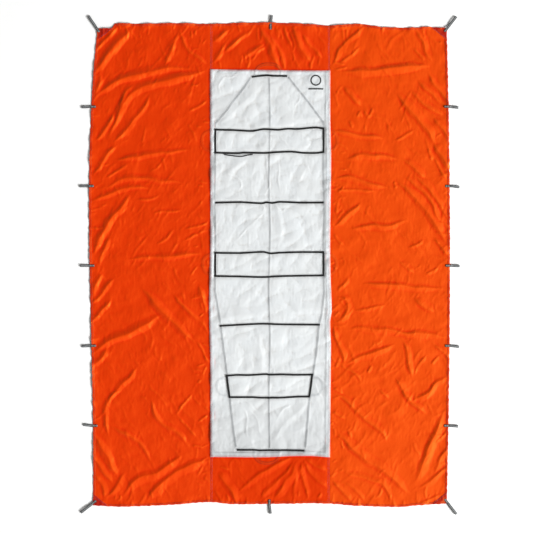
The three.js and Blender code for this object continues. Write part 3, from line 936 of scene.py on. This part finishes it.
def webbing_looks(name, dark, light, ribs=1.15 * MM):
    """Plain woven webbing: ribs across, cords along, and lint on the high threads."""
    s = new_looks(name)
    uv = s.uv()
    cords = s.bands(uv, 1.5 * MM, "X")
    weave = s.times(s.bands(uv, ribs, "Y"), s.plus(0.5, s.times(cords, 0.5)))
    worn = s.ranged(s.grain(uv, 0.004, 4, 0.7), 0.45, 0.8)
    colour = s.mixed(s.ranged(weave, 0, 1, 0, 0.6), dark, light)
    colour = s.mixed(s.times(s.times(worn, weave), 0.5), colour, light)
    return s.surface(Base_Color=colour, Roughness=s.ranged(worn, 0, 1, 0.62, 0.82),
                     Normal=s.bump(weave, 0.25 * MM, 0.8), Sheen_Weight=0.15, Specular_IOR_Level=0.25)


def tab_looks(name, pale_share=1.0):
    """Grey webbing with dark edges and a pale ribbed stripe down its middle."""
    s = new_looks(name)
    uv = s.uv()
    off_centre = s.math("ABSOLUTE", s.node("ShaderNodeSeparateXYZ", [("Vector", uv)]).outputs["X"])
    stripe = s.ranged(off_centre, 2.4 * MM, 1.8 * MM)
    border = s.ranged(off_centre, 3.2 * MM, 3.9 * MM)
    ribs = s.bands(uv, 1.3 * MM, "Y")
    low = tuple(pale_share * c for c in (0.10, 0.106, 0.11))
    high = tuple(pale_share * c for c in (0.30, 0.315, 0.32))
    pale = s.mixed(ribs, low, high)
    grey = s.mixed(ribs, (0.03, 0.031, 0.032), (0.08, 0.083, 0.084))
    colour = s.mixed(stripe, grey, pale)
    colour = s.mixed(border, colour, (0.015, 0.014, 0.015))
    dust = s.ranged(s.grain(uv, 0.003, 4, 0.7), 0.3, 0.8, 0, 0.25)
    colour = s.mixed(dust, colour, (0.16, 0.16, 0.155))
    relief = s.bump(s.plus(s.times(ribs, 0.7), stripe), 0.25 * MM, 0.8)
    return s.surface(Base_Color=colour, Roughness=s.ranged(stripe, 0, 1, 0.7, 0.42), Normal=relief,
                     Sheen_Weight=0.1)


def thread_looks(name, colour, twist=0.5 * MM):
    """Twisted sewing thread."""
    s = new_looks(name)
    bands = s.bands(s.place(), twist, "DIAGONAL")
    deep = tuple(0.55 * c for c in colour)
    return s.surface(Base_Color=s.mixed(bands, deep, colour), Normal=s.bump(bands, 0.1 * MM, 0.6),
                     Roughness=0.45)


def floor_looks():
    s = new_looks("floor_looks")
    tone = s.ranged(s.grain(s.place(), 0.5, 2), 0.3, 0.7)
    colour = s.mixed(tone, (0.93, 0.93, 0.93), (0.95, 0.95, 0.95))
    return s.surface(Base_Color=colour, Roughness=0.9, Specular_IOR_Level=0.1)


ORANGE = nylon("orange_cloth_looks", (0.67, 0.001, 0), (0.69, 0.019, 0), (0.69, 0.034, 0.0005))
# painted light: a brighter, more orange copy of the cloth for the right wing, nearer the lamp
LIT_RIGHT_ORANGE = nylon("right_cloth_painted_light_looks", (0.65, 0.004, 0), (0.70, 0.041, 0.001), (0.70, 0.053, 0.002),
                     gloss=0.62, rough_low=0.56)
# painted shade: a darker copy of the cloth for the foot end
SHADED_FOOT_ORANGE = nylon("foot_cloth_painted_shade_looks", (0.58, 0.002, 0), (0.63, 0.020, 0), (0.64, 0.034, 0.0005),
                    gloss=0.42, rough_low=0.57)
HEM_ORANGE = nylon("hem_looks", (0.48, 0.006, 0.003), (0.60, 0.014, 0.004), (0.66, 0.030, 0.008),
                   showing=False)
# the corner patches: darker for their doubled cloth, and darker still as painted shade of the folds over
# the corners
PATCH_ORANGE = nylon("corner_patch_doubled_and_shade_looks", (0.32, 0.001, 0.003), (0.40, 0.002, 0.006),
                     (0.46, 0.006, 0.010), showing=False, gloss=0.5)
LAMINATE = laminate_looks("litter_laminate_looks", 0.55)
# painted light: the turned-under edges are an opaque copy of the laminate, 1.2 times brighter, to offset
# the shade they lie in under the panel
FELL_LAMINATE_PAINTED_LIGHT = laminate_looks("litter_fell_painted_light_looks", 1.0, 1.2)
BLACK_WEB = webbing_looks("strap_webbing_looks", (0.0025, 0.0022, 0.0024), (0.008, 0.0073, 0.0077))
TAB_WEB = tab_looks("tab_webbing_looks")
HAUL_WEB = webbing_looks("under_webbing_looks", (0.004, 0.0035, 0.0037), (0.014, 0.013, 0.014), 1.3 * MM)
LOOP_WEB = tab_looks("haul_webbing_looks", 1.3)
WHITE_WEB = webbing_looks("shin_handle_looks", (0.50, 0.51, 0.52), (0.68, 0.69, 0.70), 1.3 * MM)
BLACK_THREAD = thread_looks("black_thread_looks", (0.012, 0.011, 0.013))
SEAM_THREAD = thread_looks("seam_thread_looks", (0.42, 0.15, 0.20))
HEM_THREAD = thread_looks("hem_thread_looks", (0.40, 0.03, 0.03))
MARK_INK = thread_looks("printed_mark_looks", (0.012, 0.013, 0.015), 3 * MM)

# ---------------------------------------------------------------- cloth sheets

FINE = 3.9 * MM  # spacing of the cloth's points
WING_WIDTH, WING_LENGTH = 0.62, 2.43  # sizes that the points are spaced for
LITTER_WIDTH, LITTER_LENGTH = 0.62, 1.97
END_WIDTH, END_LENGTH = 0.61, 0.25
BELOW = 0.75 * MM  # how far a seam allowance lies below the sheet on top of it


def sheet_piece(name, x, y, material, below=0):
    """A sheet over a grid of points, some way below the cloth's top face."""
    x, y, z = np.broadcast_arrays(x, y, height_at(x, y) - below)
    verts = np.stack([x, y, z], -1).reshape(-1, 3)
    return new_piece(name, verts, grid_faces(*x.shape), material, verts[:, :2])


def wing_cloth(side_name, side):
    """A wing, from under the litter panel's edge to its long hem."""
    share = even(0, 1, FINE / WING_WIDTH)
    v = even(0, 1, FINE / WING_LENGTH)[:, None]
    x = side * (0.29 + 0.62 * share)[None, :]
    for _ in range(4):
        y = HEM_Y[-1](x) + (HEM_Y[1](x) - HEM_Y[-1](x)) * v
        ragged = 5 * MM * np.sin(y * 21 + side) + 4 * MM * np.sin(y * 47)
        inner = SEAM_X[side](y) - side * (ALLOWANCE + ragged * smooth(abs(y), 1.0, 0.9))
        x = inner + (HEM_X[side](y) - inner) * share[None, :]
    x, y = x[:, ::side], y[:, ::side]
    below = BELOW * (1 - smooth(side * (x - SEAM_X[side](y)), 0, 5 * MM))
    looks = ORANGE if side < 0 else LIT_RIGHT_ORANGE
    made = sheet_piece(f"{side_name}_wing_cloth", x, y, looks, below)
    return declare(made, side, [f"{side_name}_wing_panel", f"{side_name}_wing_seam"])


def end_cloth(end, out):
    """An orange end panel between the wings, from under the litter panel's edge to the hem."""
    seam, hem = SEAM_Y[out], HEM_Y[out]
    v = even(0, 1, FINE / END_LENGTH)
    share = even(0, 1, FINE / END_WIDTH)[None, :]
    y0 = np.clip(seam(0) + (hem(0) - seam(0)) * v, *LITTER_Y)[:, None]
    x = SEAM_X[-1](y0) + (SEAM_X[1](y0) - SEAM_X[-1](y0)) * share
    near = seam(x) - out * ALLOWANCE
    y = near + (hem(x) - near) * v[:, None]
    x, y = x[::out], y[::out]
    below = 0.7 * BELOW * (1 - smooth(out * (y - seam(x)), 0, 5 * MM))
    made = sheet_piece(f"{end}_cloth", x, y, ORANGE if out > 0 else SHADED_FOOT_ORANGE, below)
    return declare(made, replaced=[f"{end}_panel"])


def litter_cloth():
    """The white panel that the person lies on."""
    v = even(0, 1, FINE / LITTER_LENGTH)[:, None]
    share = even(0, 1, FINE / LITTER_WIDTH)[None, :]
    y0 = LITTER_Y[0] + (LITTER_Y[1] - LITTER_Y[0]) * v
    x = SEAM_X[-1](y0) + (SEAM_X[1](y0) - SEAM_X[-1](y0)) * share
    y = SEAM_Y[-1](x) + (SEAM_Y[1](x) - SEAM_Y[-1](x)) * v
    made = sheet_piece("litter_cloth", x, y, LAMINATE)
    return declare(made, replaced=["litter_panel"])


def fells():
    """The litter panel's four edges, turned under between it and the orange cloth."""
    grids = {}
    steps = np.linspace(0.5 * MM, FELL, 4)
    y = even(*LITTER_Y, FINE)[:, None]
    for side_name, side in SIDES:
        grids[side_name] = SEAM_X[side](y) - side * steps[None, ::-side], y
    x = even(LITTER_LOW.x + 14 * MM, LITTER_HIGH.x - 10 * MM, FINE)[None, :]
    for end, out in ENDS:
        grids[end] = x, SEAM_Y[out](x) - out * steps[::-out, None]
    made = []
    for edge, grid in grids.items():
        fell = sheet_piece(f"{edge}_litter_fell", *grid, FELL_LAMINATE_PAINTED_LIGHT, 0.5 * BELOW)
        made.append(declare(fell))
    return made


CLOTHS = {side_name: wing_cloth(side_name, side) for side_name, side in SIDES}
CLOTHS.update({end: end_cloth(end, out) for end, out in ENDS})
LITTER = litter_cloth()
FELLS = fells()

# ---------------------------------------------------------------- hems

HEM_SECTION = np.array([  # across the hem from the edge inwards, and up, in mm
    (12.0, 0.10), (11.6, 0.42), (10.6, 0.50), (7.0, 0.62), (3.0, 0.62), (0.6, 0.45), (-0.1, 0.05),
    (0.5, -0.4), (3.0, -0.45), (11.5, -0.40)])


def inset_boundary(x, y, inset):
    """Boundary points moved inwards, and kept clear of the corners, as a mitre."""
    x = np.clip(x, HEM_X[-1](y) + inset, HEM_X[1](y) - inset)
    return np.stack([x, np.clip(y, HEM_Y[-1](x) + inset, HEM_Y[1](x) - inset)], -1)


def hem_piece(name, x, y, on):
    """A rolled hem along boundary points."""
    rings = []
    for inset, up in HEM_SECTION * MM:
        xy = inset_boundary(x, y, inset)
        rings.append(np.column_stack([xy, height_at(*xy.T) + up]))
    along = distance_along(np.stack([x, y], 1))
    made = tube(name, np.stack(rings, 1), HEM_SECTION[:, 0] * MM, along, HEM_ORANGE, fields=True)
    return declare(merged(made), on)


def wing_corner(side, out):
    """The corner of a wing, where its long hem meets an end hem."""
    x = HEM_X[side](HEM_Y[out](side * 0.9))
    return x, HEM_Y[out](x)


def wing_boundary(side):
    """Boundary points of a wing: along the head hem, down the long hem and back along the foot hem."""
    seam = (LITTER_LOW if side < 0 else LITTER_HIGH).x
    (head_x, head_y), (foot_x, foot_y) = wing_corner(side, 1), wing_corner(side, -1)
    head_row, foot_row = even(seam, head_x, 4 * MM), even(foot_x, seam, 4 * MM)
    long_row = even(head_y, foot_y, 5 * MM)[1:-1]
    x = np.r_[head_row, HEM_X[side](long_row), foot_row]
    y = np.r_[HEM_Y[1](head_row), long_row, HEM_Y[-1](foot_row)]
    return x[::side], y[::side]


for side_name, side in SIDES:
    hem_piece(f"{side_name}_wing_hem", *wing_boundary(side), side)
for end, out in ENDS:
    xs = even(LITTER_LOW.x, LITTER_HIGH.x, 4 * MM)[::out]
    hem_piece(f"{end}_hem", xs, HEM_Y[out](xs), "litter")

# ---------------------------------------------------------------- webbing

CROSSING_LIFT = 1.15 * WEB_THICK  # of a box's long straps, where they cross its end straps
CROSSING = WEB_WIDTH + 3 * MM  # how far along them it reaches
STRAND_WIDTH, STRAND_THICK = 5 * MM, 2.2 * MM


def is_box_strap(name):
    return name.endswith(("_upper", "_lower"))


def strap(name, line):
    rise = 0
    if is_box_strap(name):
        s = np.linalg.norm(line - line[0], axis=1)
        from_end = np.minimum(s, s[-1] - s)
        rise = CROSSING_LIFT * (1 - smooth(from_end, CROSSING - 2 * MM, CROSSING + 14 * MM))
    made = ribbon(f"{name}_web", line, WEB_WIDTH, WEB_THICK, BLACK_WEB, rise=rise)
    return declare(made, replaced=[name])


def slack_strand(name):
    """The lower chest strap's loose strand, which stands on its edge and sags towards the hips."""
    low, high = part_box(name)
    line = spline([
        (low.x, high.y - 1 * MM), (low.x + 40 * MM, high.y - 7 * MM), (low.x + 92 * MM, low.y + 3 * MM),
        (high.x - 30 * MM, high.y - 5 * MM), (high.x, high.y - 0.5 * MM)], 4 * MM)
    made = ribbon(f"{name}_web", line, STRAND_WIDTH, STRAND_THICK, BLACK_WEB)
    return declare(made, replaced=[name])


def webbing_below(name, line):
    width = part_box(name)[1].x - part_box(name)[0].x if name == "spine_webbing" else WEB_WIDTH
    if name.endswith("webbing"):
        looks = HAUL_WEB
    else:
        looks = WHITE_WEB if "shin" in name else LOOP_WEB
    made = ribbon(f"{name}_web", line, width, WEB_THICK, looks, UNDER_Z)
    return declare(made, replaced=[name])


STRAPS = [strap(name, line) for name, line in strap_lines.items()]
STRAPS.append(slack_strand("chest_strap_slack"))
UNDER = [webbing_below(name, line) for name, line in under_lines.items()]

# ---------------------------------------------------------------- corner patches

PATCH_SHARES = (1.45, 1.15)  # a patch's legs along the end hem and the long hem, to its CAD triangle's
PATCH_STEPS = 16
PATCH_INSET = 1.2 * MM  # of the patch from the hems' edges
CORNERS = [(end, out, side_name, side) for end, out in ENDS for side_name, side in SIDES]


def patch_legs(end, side_name):
    low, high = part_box(f"{end}_{side_name}_corner_patch")
    return [share * (high.x - low.x) for share in PATCH_SHARES]


def corner_patch(end, out, side_name, side):
    """A doubled triangle of cloth sewn over a corner."""
    leg_x, leg_y = patch_legs(end, side_name)
    corner_x = wing_corner(side, out)[0] - side * PATCH_INSET
    points, index = [], {}
    for i in range(PATCH_STEPS + 1):
        for j in range(PATCH_STEPS + 1 - i):
            x = corner_x - side * leg_x * i / PATCH_STEPS
            y = HEM_Y[out](x) - out * (PATCH_INSET + leg_y * j / PATCH_STEPS)
            x = x - (corner_x + side * PATCH_INSET - HEM_X[side](y)) * (1 - i / PATCH_STEPS)
            index[i, j] = len(points)
            points.append((x, y))
    points = np.array(points)
    z = height_at(*points.T) + 0.75 * MM
    top = np.column_stack([points, z + 0.35 * MM])
    bottom = np.column_stack([points, z - 0.1 * MM])
    total = len(points)
    turn = side * out  # the triangles run the other way round in half of the corners
    faces = []
    for i, j in index:
        if i + j < PATCH_STEPS:
            faces.append([index[i, j], index[i + 1, j], index[i, j + 1]][::-turn])
        if i + j + 1 < PATCH_STEPS:
            faces.append([index[i + 1, j], index[i + 1, j + 1], index[i, j + 1]][::-turn])
    faces += [[v + total for v in f[::-1]] for f in faces]
    rim = [index[i, 0] for i in range(PATCH_STEPS)]
    rim += [index[PATCH_STEPS - j, j] for j in range(PATCH_STEPS)]
    rim += [index[0, j] for j in range(PATCH_STEPS, 0, -1)]
    faces += [[a, b, b + total, a + total][::turn] for a, b in zip(rim, rim[1:] + rim[:1])]
    made = new_piece(f"{end}_{side_name}_patch_cloth", np.vstack([top, bottom]), faces, PATCH_ORANGE,
                     np.vstack([points, points]), smooth_shading=False)
    declare(made, f"{side_name}_wing", [f"{end}_{side_name}_corner_patch"])


for corner in CORNERS:
    corner_patch(*corner)

# ---------------------------------------------------------------- tabs

TAB_THICK = 1.1 * MM
TAB_TAIL = 28 * MM  # sewn to the cloth
LOWER_LAYER, UPPER_LAYER = 0.6 * MM, 1.75 * MM  # heights of its two layers' middles above the cloth
TAB_TACKS = (-1.5 * MM, -17 * MM)  # from the hem outwards
TAB_TACK_STITCHES = 11
TAB_TURNS = {  # degrees that a tab lies turned from square, anticlockwise from above
    "right_tab_1": -5, "right_tab_2": -6, "right_tab_3": -3, "right_tab_4": -7, "right_tab_5": -4,
    "left_tab_5": -7, "left_tab_4": 3, "left_tab_1": 2, "head_centre_tab": -7, "foot_centre_tab": 7,
}


def bar_tack(centre, across, along, count, half_width, half_length, slips):
    """Starts and ends of a bar tack's stitches. slips is how far each end is moved across."""
    shift = np.linspace(-half_width, half_width, count)[:, None]
    return [centre + along * way * half_length + across * (shift + slip)
            for way, slip in zip((-1, 1), slips)]


def tab_path(free, cloth_z, centre_z, half):
    """The webbing's middle in side view, as distance out from the hem and height: out, round and back."""
    angles = np.linspace(-math.pi / 2, math.pi / 2, 7)[1:-1]
    lower = [(-TAB_TAIL, cloth_z + LOWER_LAYER), (-2 * MM, cloth_z + LOWER_LAYER),
             (9 * MM, centre_z - 0.5 * half), (22 * MM, centre_z - half),
             (free - half - 2 * MM, centre_z - half)]
    round_end = [(free - half + half * math.cos(t) * 0.95, centre_z + half * math.sin(t)) for t in angles]
    upper = [(free - half - 2 * MM, centre_z + half), (22 * MM, centre_z + 0.9 * half),
             (9 * MM, centre_z + 0.55 * half), (-2 * MM, cloth_z + UPPER_LAYER),
             (1 * MM - TAB_TAIL, cloth_z + UPPER_LAYER)]
    return spline(lower + round_end + upper, 1.6 * MM)


def tab(node, body):
    """A doubled length of webbing: two layers sewn flat on the cloth, which open into an eye."""
    tail, tip = sorted(ends_of(node), key=np.linalg.norm)
    low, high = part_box(node)
    total = np.linalg.norm(tip - tail)
    out = (tip - tail) / total
    hem = tail + out * TAB_TAIL
    c, s = (f(math.radians(TAB_TURNS.get(node, 0))) for f in (math.cos, math.sin))
    free_out = np.array([out[0] * c - out[1] * s, out[0] * s + out[1] * c])
    cloth_z = float(height_at(*(hem - out * 10 * MM))) + 0.9 * MM
    path = tab_path(total - TAB_TAIL, cloth_z, (low.z + high.z) / 2, (high.z - low.z) / 2 - TAB_THICK / 2)
    normal = sideways(path)
    side, up = WEB_SECTION.T
    offset = (up - 0.5) * TAB_THICK
    rings = np.zeros((len(path), len(side), 3))
    for n, (d, z) in enumerate(path):
        # the free end turns as one piece, by bending in the first few millimetres
        bend = smooth(d, -2 * MM, 10 * MM)
        way = out * (1 - bend) + free_out * bend
        way = way / np.linalg.norm(way)
        across = np.array([-way[1], way[0]])
        rings[n, :, :2] = (hem + way * d + np.outer(side * TAB_WIDTH, across)
                           - np.outer(offset * normal[n, 0], way))
        rings[n, :, 2] = z - offset * normal[n, 1]
    made = tube(f"{node}_web", rings, side * TAB_WIDTH, distance_along(path), TAB_WEB)
    declare(made, body, [node])
    across = np.array([-out[1], out[0]])
    slips = (-0.4 * MM, 0.4 * MM)
    tacks = [bar_tack(hem + out * place, across, out, TAB_TACK_STITCHES, 0.46 * TAB_WIDTH, 1.1 * MM, slips)
             for place in TAB_TACKS]
    starts, ends = np.hstack(tacks)
    heights = np.full(len(starts), cloth_z + UPPER_LAYER + TAB_THICK / 2 + 0.15 * MM)
    tack = stitches(f"{node}_tacks", starts, ends, heights, 0.45 * MM, BLACK_THREAD)
    declare(tack, body)


for side_name, _ in SIDES:
    for n in range(1, 6):
        tab(f"{side_name}_tab_{n}", f"{side_name}_wing")
    for end, _ in ENDS:
        tab(f"{end}_{side_name}_corner_tab", f"{side_name}_wing")
for end, _ in ENDS:
    tab(f"{end}_centre_tab", "litter")

# ---------------------------------------------------------------- stitching

STITCH_PITCH = 3.6 * MM
STITCH_SHARE = 0.78  # of the pitch that a stitch shows
THREAD = 0.42 * MM  # radius
STRAP_TACK_STITCHES = 9
SEAM_ROWS = (3 * MM, 9.5 * MM)  # stitch rows, from the litter panel's edge inwards
PATCH_ROWS = (3 * MM, 8 * MM)


def sewn(name, rows, radius, material, lift, on="litter"):
    """Stitch rows on the cloth, as one piece."""
    starts, ends = [], []
    for row in rows:
        line = spline(row, 2 * MM) if len(row) > 2 else row
        at = np.arange(STITCH_PITCH / 2, distance_along(line)[-1] - STITCH_PITCH, STITCH_PITCH)
        starts.append(points_along(line, at))
        ends.append(points_along(line, at + STITCH_PITCH * STITCH_SHARE))
    starts, ends = np.concatenate(starts), np.concatenate(ends)
    heights = height_at(*((starts + ends) / 2).T) + lift
    return declare(stitches(name, starts, ends, heights, radius, material), on)


def hem_stitches(name, x, y, on):
    row = inset_boundary(x, y, 10 * MM)
    row = row[np.r_[True, np.linalg.norm(np.diff(row, axis=0), axis=1) > 0.5 * MM]]
    return sewn(name, [row], THREAD, HEM_THREAD, 0.55 * MM, on)


def seam_stitches():
    """Two rows along each edge of the litter panel. Those of its long edges run on to the hems."""
    rows = {}
    for side_name, side in SIDES:
        ys = even(HEM_Y[-1](side * 0.3) + 2 * MM, HEM_Y[1](side * 0.3) - 2 * MM, 20 * MM)
        rows[side_name] = 0.55 * MM, [np.stack([SEAM_X[side](ys) - side * a, ys], 1) for a in SEAM_ROWS]
    xs = even(LITTER_LOW.x + 6 * MM, LITTER_HIGH.x - 2 * MM, 20 * MM)
    for end, out in ENDS:
        rows[end] = 0.45 * MM, [np.stack([xs, SEAM_Y[out](xs) - out * a], 1) for a in SEAM_ROWS]
    return [sewn(f"{edge}_seam_stitches", lines, radius, SEAM_THREAD, 0.1 * MM)
            for edge, (radius, lines) in rows.items()]


def patch_stitches(end, out, side_name, side):
    """Rows along the patch's long edge."""
    x, y = wing_corner(side, out)
    leg_x, leg_y = patch_legs(end, side_name)
    rows = [np.array([(x - side * (leg_x - inset), y - out * 4 * MM),
                      (x - side * 4 * MM, y - out * (leg_y - inset))]) for inset in PATCH_ROWS]
    sewn(f"{end}_{side_name}_patch_stitches", rows, THREAD, SEAM_THREAD, 1.15 * MM, f"{side_name}_wing")


def strap_stitches():
    """Bar tacks at the middle and the ends of the straps, over the webbing underneath."""
    tacks, heights = [], []
    for name, line in strap_lines.items():
        if name.endswith("_end"):
            continue
        from_end = np.array([0.4, 1.1] if is_box_strap(name) else [0.35, 0.9]) * WEB_WIDTH
        length = distance_along(line)
        normals = sideways(line)
        for s in (*from_end, length[-1] / 2, *(length[-1] - from_end)):
            centre = points_along(line, s)
            normal = normals[np.searchsorted(length, s).clip(0, len(line) - 1)]
            forward = np.array([normal[1], -normal[0]])
            tacks.append(bar_tack(centre, normal, forward, STRAP_TACK_STITCHES, 0.42 * WEB_WIDTH, 1.3 * MM,
                                  (0, 0.5 * MM)))
            spots = centre[:, None] + normal[:, None] * np.linspace(-0.5, 0.5, 5) * WEB_WIDTH
            lift = CROSSING_LIFT if is_box_strap(name) and s != length[-1] / 2 else 0
            heights += [height_at(*spots).max() + 0.35 * MM + WEB_THICK + lift] * STRAP_TACK_STITCHES
    starts, ends = np.hstack(tacks)
    made = stitches("strap_bar_tacks", starts, ends, np.array(heights), 0.4 * MM, BLACK_THREAD)
    return declare(made)


for side_name, side in SIDES:
    hem_stitches(f"{side_name}_hem_stitches", *wing_boundary(side), side)
for end, out in ENDS:
    xs = even(LITTER_LOW.x, LITTER_HIGH.x, 10 * MM)
    hem_stitches(f"{end}_hem_stitches", xs, HEM_Y[out](xs), "litter")
SEAM_STITCHES = seam_stitches()
for corner in CORNERS:
    patch_stitches(*corner)
BAR_TACKS = strap_stitches()

# ---------------------------------------------------------------- a plain printed mark

MARK_PLACE = (235 * MM, 935 * MM)
MARK_RADII = np.array([28, 24.5, 21]) * MM
MARK_BAR = np.array([47, 43.5, 40]) * MM  # its lower edge, middle and upper edge, below the ring's middle
MARK_HALF_WIDTH = 38 * MM


def printed_mark():
    """A ring with a bar below it, printed on the litter panel."""
    cx, cy = MARK_PLACE
    angle = np.linspace(0, 2 * math.pi, 73)[:-1]
    unit = np.stack([np.cos(angle), np.sin(angle)], -1)
    ring = np.array(MARK_PLACE) + MARK_RADII[:, None, None] * unit
    bar_x = even(cx - MARK_HALF_WIDTH, cx + MARK_HALF_WIDTH, 4 * MM)
    bar = np.stack(np.meshgrid(bar_x, cy - MARK_BAR), -1)
    flat = np.vstack([ring.reshape(-1, 2), bar.reshape(-1, 2)])
    faces = [grid_faces(*ring.shape[:2], closed=True), grid_faces(*bar.shape[:2], start=ring.size // 2)]
    z = height_at(*flat.T) + 0.08 * MM
    made = new_piece("printed_mark", np.column_stack([flat, z]), np.vstack(faces), MARK_INK, fields=False)
    return declare(made)


MARK = printed_mark()

# ---------------------------------------------------------------- floor and light

FLOOR_HALF = 15
KEY_AZIMUTH = math.radians(-25)  # from +X: the light stands to the right, towards the foot end
KEY_ELEVATION = math.radians(34)
KEY_DISTANCE = 20.0
KEY_SIZE = 8.0
KEY_POWER = 6300
SKY_TOP = 0.06
SKY_SIDES = 0.72
DARK_WALL, BRIGHT_WALL = 0.65, 1.3  # shares of the sky's strength away from the light and towards it


def make_floor():
    mesh = bpy.data.meshes.new("floor")
    corners = [(x * FLOOR_HALF, y * FLOOR_HALF, 0) for x, y in ((-1, -1), (1, -1), (1, 1), (-1, 1))]
    mesh.from_pydata(corners, [], [(0, 1, 2, 3)])
    mesh.materials.append(floor_looks())
    linked("floor", mesh)


def make_key():
    """The one lamp, low on the right."""
    flat = math.cos(KEY_ELEVATION)
    way = Vector((math.cos(KEY_AZIMUTH) * flat, math.sin(KEY_AZIMUTH) * flat, math.sin(KEY_ELEVATION)))
    data = bpy.data.lights.new("key", "AREA")
    data.shape = "DISK"
    data.size = KEY_SIZE
    data.energy = KEY_POWER
    data.color = (0.985, 0.995, 1)
    key = linked("key", data)
    key.location = way * KEY_DISTANCE
    key.rotation_euler = way.to_track_quat("Z", "Y").to_euler()


def make_sky():
    """A studio with pale walls, brighter behind the lamp, and a dark ceiling over the bivy."""
    world = bpy.data.worlds.new("sky")
    s = Nodes(world)
    way = s.node("ShaderNodeTexCoord").outputs["Generated"]
    up = s.node("ShaderNodeSeparateXYZ", [("Vector", way)]).outputs["Z"]
    towards = (math.cos(KEY_AZIMUTH), math.sin(KEY_AZIMUTH), 0)
    facing = s.node("ShaderNodeVectorMath", [(0, way), (1, towards)],
                    operation="DOT_PRODUCT").outputs["Value"]
    strength = s.times(s.ranged(up, 0.55, 0.85, SKY_SIDES, SKY_TOP),
                       s.ranged(facing, -0.7, 0.7, DARK_WALL, BRIGHT_WALL))
    s.feed(world.node_tree.nodes["Background"], [("Color", (1, 0.985, 0.96, 1)), ("Strength", strength)])
    bpy.context.scene.world = world
    bpy.context.scene.view_settings.view_transform = "Standard"


make_floor()
make_key()
make_sky()
